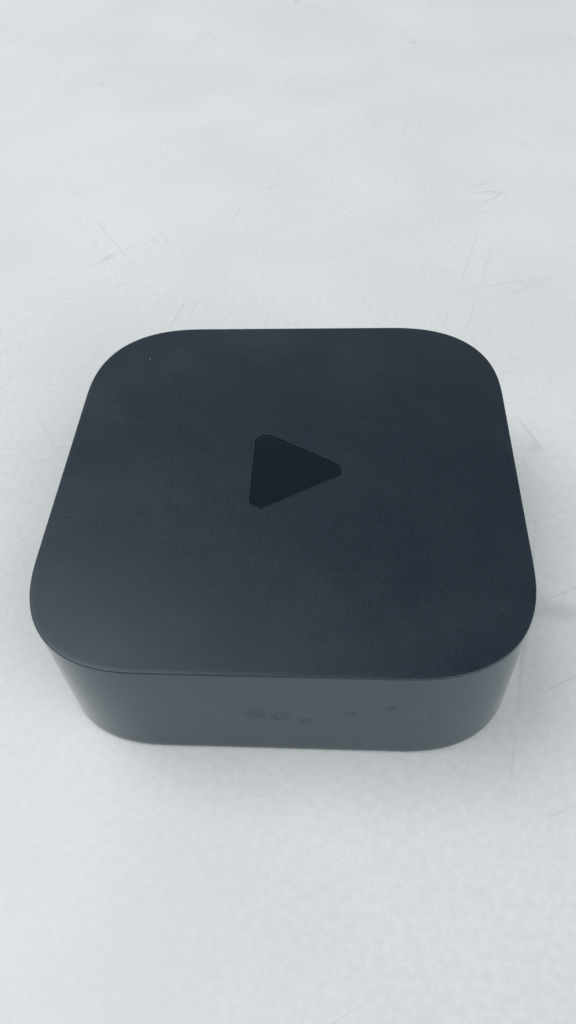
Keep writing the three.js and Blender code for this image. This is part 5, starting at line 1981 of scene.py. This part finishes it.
@dataclass
class LogicBoard:
    """The logic board, its chips, radio, aerials, leads and sensors."""

    board_inset: float = 4.0
    board_gap: float = 0.3  # between the board and the two tall sockets
    top: float = LOGIC_TOP
    thickness: float = 1.2

    def build(self) -> None:
        """Makes and mounts the board and every part on it."""
        self._board()
        chips = ("processor", "memory_chip_1", "memory_chip_2", "flash_chip", "power_management_chip")
        for node in chips:
            Chip(node).build()
        Chip("network_magnetics", legs=6).build()
        self._pad()
        self._inductors()
        self._radio()
        for name in ("left", "right"):
            self._aerial(name)
        self._lead("left", -28.0, -21.5)
        self._lead("right", -19.5, 14.5)
        self._receiver()
        self._light()
        sockets = ("inlet_housing", "network_socket_shield")
        on_top = ("core_inductor_1", "core_inductor_2", "core_inductor_3", "wireless_shield")
        on_top += ("antenna_left", "antenna_right", "antenna_cable_left", "antenna_cable_right")
        rooms = keep_off(*chips, *on_top, *sockets)
        SmallParts("logic_small_parts", 330, self.top, False, 23, rooms).build()
        beneath = ("network_magnetics", "infrared_receiver", "status_led", "video_socket_shell")
        rooms = keep_off(*beneath, *sockets, "power_link_plug", "upper_insulator")
        SmallParts("logic_under_parts", 120, self.top - self.thickness, True, 31, rooms).build()

    def _board(self) -> None:
        """The board, notched at the rear for the two tall sockets."""
        surface = Surface()
        rooms = [Room.of("network_socket_shield"), Room.of("inlet_housing")]
        gap = self.board_gap
        steps = [value for room in rooms for value in (room.low[0] - gap, room.high[0] + gap)]
        x, half = box_spans(self.board_inset, steps)
        high = half.copy()
        for room in rooms:
            notched = (x > room.low[0] - gap) & (x < room.high[0] + gap)
            high[notched] = room.low[1] - gap
        strip_plate(surface, x, -half, high, (self.top - self.thickness, self.top))
        surface.fit("main_board", "logic_board", "logic_board", Finish.LOGIC_MASK)

    def _pad(self) -> None:
        """The soft pad on the processor, with rounded edges."""
        room = Room.of("thermal_pad")
        surface = Surface().block(room.size, room.foot, 0.2, 0.4)
        surface.fit("gap_pad", "pad", "thermal_pad", Finish.PAD)

    def _inductors(self) -> None:
        """Moulded core inductors with plated ends."""
        for number in (1, 2, 3):
            node = f"core_inductor_{number}"
            room = Room.of(node)
            width, depth, height = room.size
            surface = Surface().block((width - 0.3, depth, height), room.foot, 0.35, 0.4)
            for side in (-1, 1):
                end = room.foot + [side * (width / 2 - 0.25), 0, 0]
                surface.block((0.5, depth * 0.6, 0.5), end, 0.08, slot=1)
            surface.fit(f"core_coil_{number}", "ferrite", node, Finish.FERRITE, Finish.TIN)

    def _radio(self) -> None:
        """The radio's can on its frame, with a dimple and tabs along its sides."""
        room = Room.of("wireless_shield")
        width, depth, height = room.size
        surface = Surface().block((width, depth, height * 0.35), room.foot, 0.08, 0.4)
        lid = (width - 0.5, depth - 0.5, height * 0.8 - 0.1)
        surface.block(lid, room.foot + [0, 0, height * 0.2], 0.25, 0.7)
        pad = [(0, -0.3), (2.6, -0.3), (2.6, -0.11), (2.45, -0.03), (2.3, 0), (0, 0)]
        surface.turned(pad, [*room.centre[:2], room.high[2]], steps=48)
        for x in middles(room.low[0], width, 6):
            for side in (-1, 1):
                y = room.centre[1] + side * (depth / 2 - 0.12)
                surface.block((0.7, 0.22, 0.35), (x, y, room.low[2] + 0.7), 0.06)
        surface.fit("radio_can", "steel", "wireless_shield", Finish.TIN)

    def _aerial(self, name: str) -> None:
        """A bent sheet: up from the board behind and forward over the top, with a bend of constant radius.

        Args:
            name: Which side it is on.
        """
        node = f"antenna_{name}"
        room = Room.of(node)
        width = room.size[0]
        sheet, bend, leg = 0.4, 0.9, 2.6
        turn = np.linspace(0, QUARTER_TURN, 7)

        def bent(offset: float) -> np.ndarray:
            """y and z along one face of the sheet, from the wall's foot to the top's front edge.

            Args:
                offset: How far in from the sheet's outer face it is.

            Returns:
                The pairs.
            """
            radius = bend - offset
            y = room.high[1] - bend + radius * np.cos(turn)
            z = room.high[2] - bend + radius * np.sin(turn)
            wall = np.array([[room.high[1] - offset, room.low[2] + leg]])
            front = np.array([[room.low[1], room.high[2] - offset]])
            return np.concatenate([wall, np.stack([y, z], axis=1), front])

        section = np.concatenate([bent(0.0), bent(sheet)[::-1]])
        x = np.linspace(room.low[0], room.high[0], 5)
        rings = np.stack([np.insert(section, 0, value, axis=1) for value in x])
        surface = Surface().grid(rings, 0, True)
        half = len(section) // 2
        for end in (0, -1):
            surface.grid(np.stack([rings[end, :half], rings[end, half:][::-1]]), 0)
        for share in (-1.0, 0.2):
            at = (room.centre[0] + share * (width - 1.6) / 2, room.high[1] - sheet / 2, room.low[2])
            surface.block((1.6, sheet, leg + 0.4), at, 0.08)
        surface.fit(f"aerial_{name}", "steel", node, Finish.TIN)

    def _lead(self, name: str, start_x: float, end_x: float) -> None:
        """A coaxial lead: a smooth curve from the radio to an aerial, with a plug at its start.

        Args:
            name: Which side it is on.
            start_x: x of its start.
            end_x: x of its end.
        """
        node = f"antenna_cable_{name}"
        room = Room.of(node)
        start_y, end_y, z = -29.6, room.low[1] + 0.55, room.centre[2]
        turn = [(0, 0), (0.3, 0.4), (1, 0.8), (1.8, 0.95)]
        points = [(start_x + 3 * a, start_y + (end_y - start_y) * b) for a, b in turn] + [(end_x, end_y)]
        surface = Surface().tube(smooth_path(raised(np.array(points), z), 90), 0.5, 12)
        plug = [(0, 0), (0.95, 0), (1.0, 0.1), (1.0, 0.7), (0.85, 0.85), (0, 0.85)]
        surface.turned(plug, (start_x, start_y + 0.1, self.top + 0.1), steps=24, slot=1)
        surface.fit(f"aerial_lead_{name}", "cable", node, Finish.LEAD, Finish.GOLD)

    def _receiver(self) -> None:
        """The infrared receiver: a dark body with a domed lens at the front."""
        room = Room.of("infrared_receiver")
        width, depth, height = room.size
        body = depth - 0.7
        at = np.array([room.centre[0], room.high[1] - body / 2, room.low[2]])
        surface = Surface().block((width, body, height), at, 0.3)
        turn = np.linspace(0, QUARTER_TURN, 8)
        dome = [(1.9 * math.sin(t), 0.7 - 0.7 * math.cos(t)) for t in turn] + [(1.9, 1.0), (0, 1.0)]
        surface.turned(dome, (room.centre[0], room.low[1], room.low[2] + height / 2), Axis.Y, 32)
        surface.fit("remote_receiver", "lens", "infrared_receiver", Finish.DARK_LENS)

    def _light(self) -> None:
        """The status light: a dark body with a milky lens."""
        room = Room.of("status_led")
        width, depth, height = room.size
        surface = Surface().block((width, depth * 0.7, height), room.foot + [0, depth * 0.15, 0], 0.1)
        lens = (width * 0.6, depth * 0.5, height * 0.8)
        surface.block(lens, room.foot + [0, -depth * 0.22, height * 0.1], 0.2, slot=1)
        surface.fit("status_light", "lens", "status_led", Finish.PLASTIC, Finish.MILKY)


def smooth_path(knots: np.ndarray, count: int) -> np.ndarray:
    """A Catmull-Rom curve through knots: each span blends its four nearest knots by cubic weights.

    Args:
        knots: The (n, 3) knots.
        count: How many points the curve has.

    Returns:
        The curve's points.
    """
    ends = np.concatenate([[2 * knots[0] - knots[1]], knots, [2 * knots[-1] - knots[-2]]])
    at = np.linspace(0, len(knots) - 1 - 1e-9, count)
    span = at.astype(int)
    t = (at - span)[:, None]
    a, b, c, d = (ends[span + k] for k in range(4))
    return 0.5 * (2 * b + (c - a) * t + (2 * a - 5 * b + 4 * c - d) * t**2 + (3 * b - a - 3 * c + d) * t**3)


# ---------------------------------------------------------------- sockets


RAYS = np.linspace(-HALF_TURN, HALF_TURN, 145)[:-1] + 0.01  # angles at which outlines are joined up


def facing_rear(steps: Sequence[tuple[Ring, float]], at: Sequence[float]) -> Grid:
    """Outlines in x and z, each laid at its depth in from a rear-facing mouth.

    Args:
        steps: The outlines and their depths.
        at: The mouth's middle.

    Returns:
        The rings.
    """
    x, y, z = at
    rings = [[plan[:, 0] + x, np.full(len(plan), y - depth), plan[:, 1] + z] for plan, depth in steps]
    return np.array(rings).transpose(0, 2, 1)


@dataclass
class Sockets:
    """The mains inlet, the video socket and the network socket."""

    height: float = SOCKET_MIDDLE
    lip: float = 0.3
    edge: float = 0.12  # how far the bodies' edges are drawn in
    pin_pitch: float = 8.6
    tail_foot: float = POWER_TOP + 0.02  # where the pins' solder tails stand

    def build(self) -> None:
        """Makes and mounts the three sockets."""
        self._mains()
        self._video()
        self._network()

    def _hollow(self, outer: Ring, hole: Ring, at: Sequence[float], depth: float, cavity: float) -> Surface:
        """A body with one opening in its rear face.

        The rings go from the back, over the outside and the mouth's rounded lip, down the lining
        and to its floor. The lip is a quarter circle: it opens by 1 - sin a as it sinks by 1 - cos a.

        Args:
            outer: The body's outline, as seen from the front.
            hole: The opening's outline.
            at: The mouth's middle.
            depth: The body's depth.
            cavity: The opening's depth.

        Returns:
            The surface with the body in it.
        """
        shell = cast_rays(outer, RAYS, snap=True)
        lining = cast_rays(hole, RAYS, snap=len(hole) < 12)
        reach = np.linalg.norm(lining, axis=1, keepdims=True)
        steps = [(shell * 0.0, depth), (shell * 0.97, depth), (shell, depth - self.edge)]
        steps += [(shell, self.edge), (shell * 0.985, 0)]
        for turn in np.linspace(0, QUARTER_TURN, 4):
            grown = lining * (1 + self.lip * (1 - math.sin(turn)) / reach)
            steps.append((grown, self.lip * (1 - math.cos(turn))))
        steps += [(lining, cavity), (lining * 0.0, cavity)]
        return Surface().grid(facing_rear(steps, at), 0, True)

    def _mains(self) -> None:
        """The inlet's housing and its two round pins with domed tips."""
        room = Room.of("inlet_housing")
        at = (room.centre[0], room.high[1], self.height)
        outer = oblong(room.size[0] / 2, room.low[2] - self.height, room.high[2] - self.height)
        surface = self._hollow(outer, figure_eight(), at, room.size[1], 11.0)
        collar = [(0, 0), (1.9, 0), (1.9, 0.5), (1.7, 0.7), (0, 0.7)]
        for side in (-1, 1):
            foot = (at[0] + side * self.pin_pitch / 2, at[1] - 11.3, self.height)
            surface.turned(collar, foot, Axis.Y, 32)
        surface.fit("mains_inlet", "black_plastic", "inlet_housing", Finish.PLASTIC)
        for name in ("left", "right"):
            pin = Room.of(f"inlet_pin_{name}")
            length, radius = pin.size[1], pin.size[0] / 2
            profile = [(0, 0.05), (radius, 0.05), (radius, length - 0.9), (radius * 0.93, length - 0.5)]
            profile += [(radius * 0.7, length - 0.15), (radius * 0.35, length), (0, length)]
            made = Surface().turned(profile, (pin.centre[0], pin.low[1], self.height), Axis.Y, 32)
            tail = (pin.centre[0], pin.low[1] - 0.25, self.tail_foot)
            made.block((1.8, 0.5, self.height - self.tail_foot + 0.9), tail, 0.12, 0.2)
            made.fit(f"mains_pin_{name}", "steel", f"inlet_pin_{name}", Finish.STEEL)

    def _video(self) -> None:
        """The video socket: a folded sleeve with four springs, and a tongue with its row of contacts."""
        room = Room.of("video_socket_shell")
        at = (room.centre[0], room.high[1], self.height)
        back, edge = room.size[1], self.edge
        outer, inner = (cast_rays(video_outline(inset), RAYS, snap=True) for inset in (0.0, 0.4))
        steps = [(outer, back), (outer, edge), ((outer + inner) / 2, 0), (inner, edge), (inner, back)]
        sleeve = Surface().grid(facing_rear([*steps, (outer, back)], at), 0, True)
        for x in (-3.6, 3.6):
            for top in (-1, 1):
                z = self.height + top * 2.42
                sleeve.block((1.8, 4.2, 0.18), (at[0] + x, at[1] - 4.0, z - 0.09), 0.06)
        sleeve.fit("video_sleeve", "steel", "video_socket_shell", Finish.STEEL)
        room = Room.of("video_socket_tongue")
        depth = room.size[1]
        tongue = Surface().block((10.8, depth, 1.8), (*room.centre[:2], self.height - 0.9), 0.25)
        steps = [(video_outline(0.45), back), (video_outline(0.45), 8.3), (video_outline(0.65), 8.1)]
        tongue.rings(facing_rear([(cast_rays(plan, RAYS, snap=True), deep) for plan, deep in steps], at))
        for index in range(19):
            side = 1 if index % 2 else -1
            foot = (at[0] + (index - 9) * 0.5, at[1] - 5.0, self.height + side * 0.9 - 0.06)
            tongue.block((0.28, depth - 3.6, 0.12), foot, 0.03, slot=1)
        tongue.fit("video_tongue", "black_plastic", "video_socket_tongue", Finish.PLASTIC, Finish.GOLD)

    def _network(self) -> None:
        """The network socket: moulding, pressed can and eight curved contacts."""
        room = Room.of("network_socket_housing")
        at = (room.centre[0], room.high[1], self.height)
        outer = oblong(room.size[0] / 2, -room.size[2] / 2, room.size[2] / 2)
        surface = self._hollow(outer, network_outline(), at, room.size[1], 12.5)
        surface.fit("network_moulding", "black_plastic", "network_socket_housing", Finish.PLASTIC)
        width, back, height = Room.of("network_socket_shield").size
        outside = cast_rays(soft_rectangle(width, height, 0.5), RAYS)
        inside = cast_rays(soft_rectangle(width - 0.8, height - 0.8, 0.15), RAYS)
        steps = [(outside * 0.0, back), (outside * 0.97, back), (outside, back - 0.4), (outside, 0.1)]
        steps += [((outside + inside) / 2, 0), (inside, 0.1)]
        steps += [(inside, back - 0.4), (inside * 0.0, back - 0.4)]
        can = Surface().grid(facing_rear(steps, at), 0, True)
        can.fit("network_can", "steel", "network_socket_shield", Finish.TIN)
        self._contacts()

    def _contacts(self) -> None:
        """Eight gilded wires that slope down and forward from a bar and curl up at their tips."""
        room = Room.of("network_socket_contacts")
        bar = (room.centre[0], room.low[1] + 0.7, room.high[2] - 1.6)
        surface = Surface().block((room.size[0], 1.4, 1.6), bar, 0.15)
        share = np.linspace(0, 1, 16)
        y = room.low[1] + 0.9 + share * (room.size[1] - 1.2)
        z = np.maximum(room.high[2] - 0.8 - 2.0 * np.sin(share * HALF_TURN * 0.62), room.low[2] + 0.2)
        for index in range(8):
            x = np.full(16, room.centre[0] + (index - 3.5) * 1.02)
            surface.tube(np.stack([x, y, z], axis=1), 0.19, 8, slot=1)
        surface.fit("network_contacts", "gold", "network_socket_contacts", Finish.PLASTIC, Finish.GOLD)


# ---------------------------------------------------------------- heat sink and what clamps it


@dataclass
class HeatSink:
    """The cast heat sink, the four pillars under it and the four screws through it."""

    inset: float = 5.2
    fin_pitch: float = 4.2
    fin_thickness: float = 1.2
    fin_end: float = 3.4
    notch: Triple = (9.5, 29.5, 8.6)  # x from, x to and depth of each cut for an aerial
    plate: tuple[float, float] = (21.55, 23.05)
    screw_clear: float = 4.4

    def build(self) -> None:
        """Makes and mounts the heat sink, the pillars and the screws."""
        room = Room.of("heat_sink")
        plate_low, plate_high = self.plate
        surface = Surface()
        steps = [sign * value for sign in (-1, 1) for value in self.notch[:2]]
        x, half = box_spans(self.inset, steps)
        low = -half.copy()
        notched = (np.abs(x) > self.notch[0]) & (np.abs(x) < self.notch[1])
        low[notched] = room.low[1] + self.notch[2]
        strip_plate(surface, x, low, half, (plate_low, plate_high))
        self._fins(surface, room, plate_high)
        post = [(0, 18.8), (2.9, 18.8), (3.0, 18.9), (3.0, 21.2)]
        post += [(3.4, plate_low + 0.05), (0, plate_low + 0.05)]
        for px, py in clamp_places():
            surface.turned(post, (px, py, 0), steps=36)
        surface.block((16, 16, 0.6), (2.0, -4.0, 21.0), 0.15, 0.8)
        surface.fit("cast_cooler", "aluminium", "heat_sink", Finish.CAST)
        self._pillars()
        self._screws()

    def _fins(self, surface: Surface, room: Room, foot: float) -> None:
        """Straight fins: a tapered section with a round top, carried along Y and closed at rounded ends.

        Args:
            surface: Where they go.
            room: The heat sink's room.
            foot: The plate's upper face.
        """
        count = int(((room.size[0] / 2) - self.fin_end) / self.fin_pitch)
        edge = room.low[1]
        for index in range(-count, count + 1):
            x = index * self.fin_pitch
            outermost = abs(x) + self.fin_thickness / 2
            rear = float(FOOTPRINT.wall_y(outermost, self.inset)) - self.fin_end
            front = -rear
            if outermost > self.notch[0] and abs(x) - self.fin_thickness / 2 < self.notch[1]:
                front = max(front, edge + self.notch[2] + self.fin_thickness)
            if abs(abs(x) - CLAMP) < self.screw_clear:
                free = CLAMP - self.screw_clear
                rear, front = min(rear, free), max(front, -free)
            height = room.high[2] - foot + 0.3
            rise = [(0.0, 0.0), (0.02, 0.6), (0.16, height - 0.45), (0.26, height - 0.15), (0.45, height)]

            def outline(inset: float, length: float = rear - front) -> Ring:
                """The fin's plan, with fully round ends."""
                return soft_rectangle(self.fin_thickness - 2 * inset, length - 2 * inset, 0.58 - inset, 5)

            surface.loft(outline, rise, (x, (rear + front) / 2, foot - 0.3))

    def _pillars(self) -> None:
        """Hexagonal brass pillars with chamfered ends, on their studs."""
        across, radius = 5.0, 2.62  # the hexagon's width and the radius that it is chamfered to
        ray = circle(1.0, 72)
        turn = np.arctan2(ray[:, 1], ray[:, 0])
        sixth = np.arange(6) * HALF_TURN / 3 + HALF_TURN / 6
        corner = np.stack([np.cos(sixth), np.sin(sixth)], axis=1)
        hexagon = cast_rays(corner * across / math.sqrt(3), turn, snap=True)
        bevel = cast_rays(circle(radius, 72), turn)

        def outline(inset: float) -> Ring:
            """The hexagon at no inset, and the turned chamfer's circle in it at any other.

            Args:
                inset: How far in the chamfer is.

            Returns:
                The outline.
            """
            if inset == 0:
                return hexagon
            round_in = bevel * (radius - inset) / radius
            inner = np.linalg.norm(round_in, axis=1) < np.linalg.norm(hexagon, axis=1)
            return np.where(inner[:, None], round_in, hexagon)

        for number in (1, 2, 3, 4):
            room = Room.of(f"spacer_{number}")
            foot, top = POWER_TOP + 0.05, room.high[2]
            x, y = room.centre[:2]
            rise = [(0.3, foot), (0.001, foot + 0.5), (0, foot + 0.6)]
            rise += [(0, top - 0.6), (0.001, top - 0.5), (0.3, top)]
            surface = Surface().loft(outline, rise, (x, y, 0))
            z = np.linspace(room.low[2] + 0.3, foot, 60)
            thread = 1.17 + 0.08 * np.abs(np.sin((z - foot) / 0.5 * HALF_TURN))
            stud = [(0, room.low[2]), (0.95, room.low[2]), *zip(thread.tolist(), z.tolist()), (0, foot)]
            surface.turned(stud, (x, y, 0), steps=24)
            surface.fit(f"pillar_{number}", "brass", f"spacer_{number}", Finish.BRASS)

    def _screws(self) -> None:
        """Pan-head screws with a six-lobed key: the recess's radius is 1.02 + 0.14 cos 6a."""
        turn = np.arange(72) * 2 * HALF_TURN / 72
        ray = circle(1.0, 72)
        lobes = ray * (1.02 + 0.14 * np.cos(6 * turn))[:, None]
        for number in (1, 2, 3, 4):
            room = Room.of(f"stack_screw_{number}")
            top = room.high[2]
            head = top - 1.5
            z = np.linspace(room.low[2] + 0.6, head - 0.3, 100)
            thread = 1.15 + 0.1 * np.abs(np.sin(z / 0.45 * HALF_TURN))
            profile = [(0.001, room.low[2]), (0.7, room.low[2]), *zip(thread.tolist(), z.tolist())]
            profile += [(1.25, head), (2.2, head), (2.3, head + 0.12), (2.3, head + 0.75)]
            profile += [(2.2, top - 0.4), (1.9, top - 0.12), (1.5, top)]
            rings = [raised(ray * radius, level) for radius, level in profile]
            key = ((1.04, 0.0), (1.0, 0.08), (1.0, 0.85), (0.0, 0.95))
            rings += [raised(lobes * share, top - deep) for share, deep in key]
            surface = Surface().rings(np.stack(rings) + [*room.centre[:2], 0], high_cap=False)
            surface.fit(f"clamp_screw_{number}", "steel", f"stack_screw_{number}", Finish.SCREW)


# ---------------------------------------------------------------- studio


@dataclass
class Studio:
    """A plain pale table, soft lights and the camera."""

    camera_at: Triple = (11.179, -107.179, 149.004)
    azimuth: float = 6.05
    elevation: float = 50.66
    roll: float = 4.22
    lens: float = 27.40
    table: float = 3.0  # half its side, in metres
    key_at: Triple = (-0.62, 0.11, 1.25)
    key_size: float = 0.9
    key_power: float = 9.6
    fill_from: Triple = (0.75, -0.75, 1.0)
    fill_power: float = 1.56
    fill_softness: float = 50.0  # degrees that it spans in the sky
    # Between the first two heights on a unit sphere, the surround's light goes from the third
    # value to the fourth.
    surround: tuple[float, float, float, float] = (0.3, 0.62, 0.75, 0.16)

    def build(self) -> None:
        """Sets the table, the lights, the camera and how light turns into picture tones."""
        self._table()
        self._lights()
        self._camera()
        scene = bpy.context.scene
        scene.view_settings.view_transform = "Standard"
        scene.view_settings.look = "None"
        scene.view_settings.exposure = 0.0

    def _table(self) -> None:
        """A flat table top, finest near the middle."""
        share = np.linspace(-1, 1, 25)
        line = np.sign(share) * share**2 * self.table / MM
        x, y = np.meshgrid(line, line)
        points = np.stack([x, y, np.zeros_like(x)], axis=-1)
        Surface().grid(points).build("table_top", Finish.TABLE)

    @staticmethod
    def _lamp(light: bpy.types.Light, at: Triple, toward: Vector) -> None:
        """Hangs a light at a point and turns it to shine in a direction.

        Args:
            light: The light.
            at: Where it hangs.
            toward: The direction.
        """
        lamp = bpy.data.objects.new(light.name, light)
        lamp.location = at
        lamp.rotation_euler = toward.to_track_quat("-Z", "Y").to_euler()
        bpy.context.scene.collection.objects.link(lamp)

    def _lights(self) -> None:
        """A square key from above and to the left, a weaker fill from the front right, and a surround."""
        key = bpy.data.lights.new("key_light", "AREA")
        key.shape = "SQUARE"
        key.size, key.energy = self.key_size, self.key_power
        self._lamp(key, self.key_at, Vector((0, 0, 0.015)) - Vector(self.key_at))
        fill = bpy.data.lights.new("fill_light", "SUN")
        fill.energy, fill.angle = self.fill_power, math.radians(self.fill_softness)
        self._lamp(fill, (0, 0, 0), -Vector(self.fill_from))
        world = bpy.data.worlds.new("surround")
        bpy.context.scene.world = world
        world.use_nodes = True
        tree = world.node_tree
        direction = tree.nodes.new("ShaderNodeTexCoord").outputs["Generated"]
        split = tree.nodes.new("ShaderNodeSeparateXYZ")
        tree.links.new(direction, split.inputs[0])
        fall = tree.nodes.new("ShaderNodeMapRange")
        fall.interpolation_type = "SMOOTHSTEP"
        for key, number in zip(("From Min", "From Max", "To Min", "To Max"), self.surround):
            fall.inputs[key].default_value = number
        tree.links.new(split.outputs["Z"], fall.inputs["Value"])
        backdrop = tree.nodes["Background"]
        backdrop.inputs["Color"].default_value = (0.95, 0.985, 1.0, 1.0)
        tree.links.new(fall.outputs["Result"], backdrop.inputs["Strength"])

    def _camera(self) -> None:
        """The camera, turned about its own view line by the roll."""
        az, el, roll = (math.radians(a) for a in (self.azimuth, self.elevation, self.roll))
        back = Vector((math.sin(az) * math.cos(el), -math.cos(az) * math.cos(el), math.sin(el)))
        right = Vector((math.cos(az), math.sin(az), 0.0))
        up = back.cross(right)
        across = math.cos(roll) * right - math.sin(roll) * up
        upright = math.sin(roll) * right + math.cos(roll) * up
        turn = Matrix((across, upright, back)).transposed()
        data = bpy.data.cameras.new("camera")
        data.lens = self.lens
        data.sensor_width = 36.0
        data.clip_start = 0.01
        camera = bpy.data.objects.new("camera", data)
        camera.matrix_world = Matrix.Translation(Vector(self.camera_at) * MM) @ turn.to_4x4()
        bpy.context.scene.collection.objects.link(camera)
        bpy.context.scene.camera = camera


def main() -> None:
    """Builds the sub-assemblies in order."""
    logging.basicConfig(level=logging.INFO, format="%(name)s: %(message)s")
    Studio().build()
    for part in (Cover(), Tray(), PowerSupply(), LogicBoard(), Sockets(), HeatSink()):
        log.info("building %s", type(part).__name__)
        part.build()


if __name__ == "__main__":
    main()
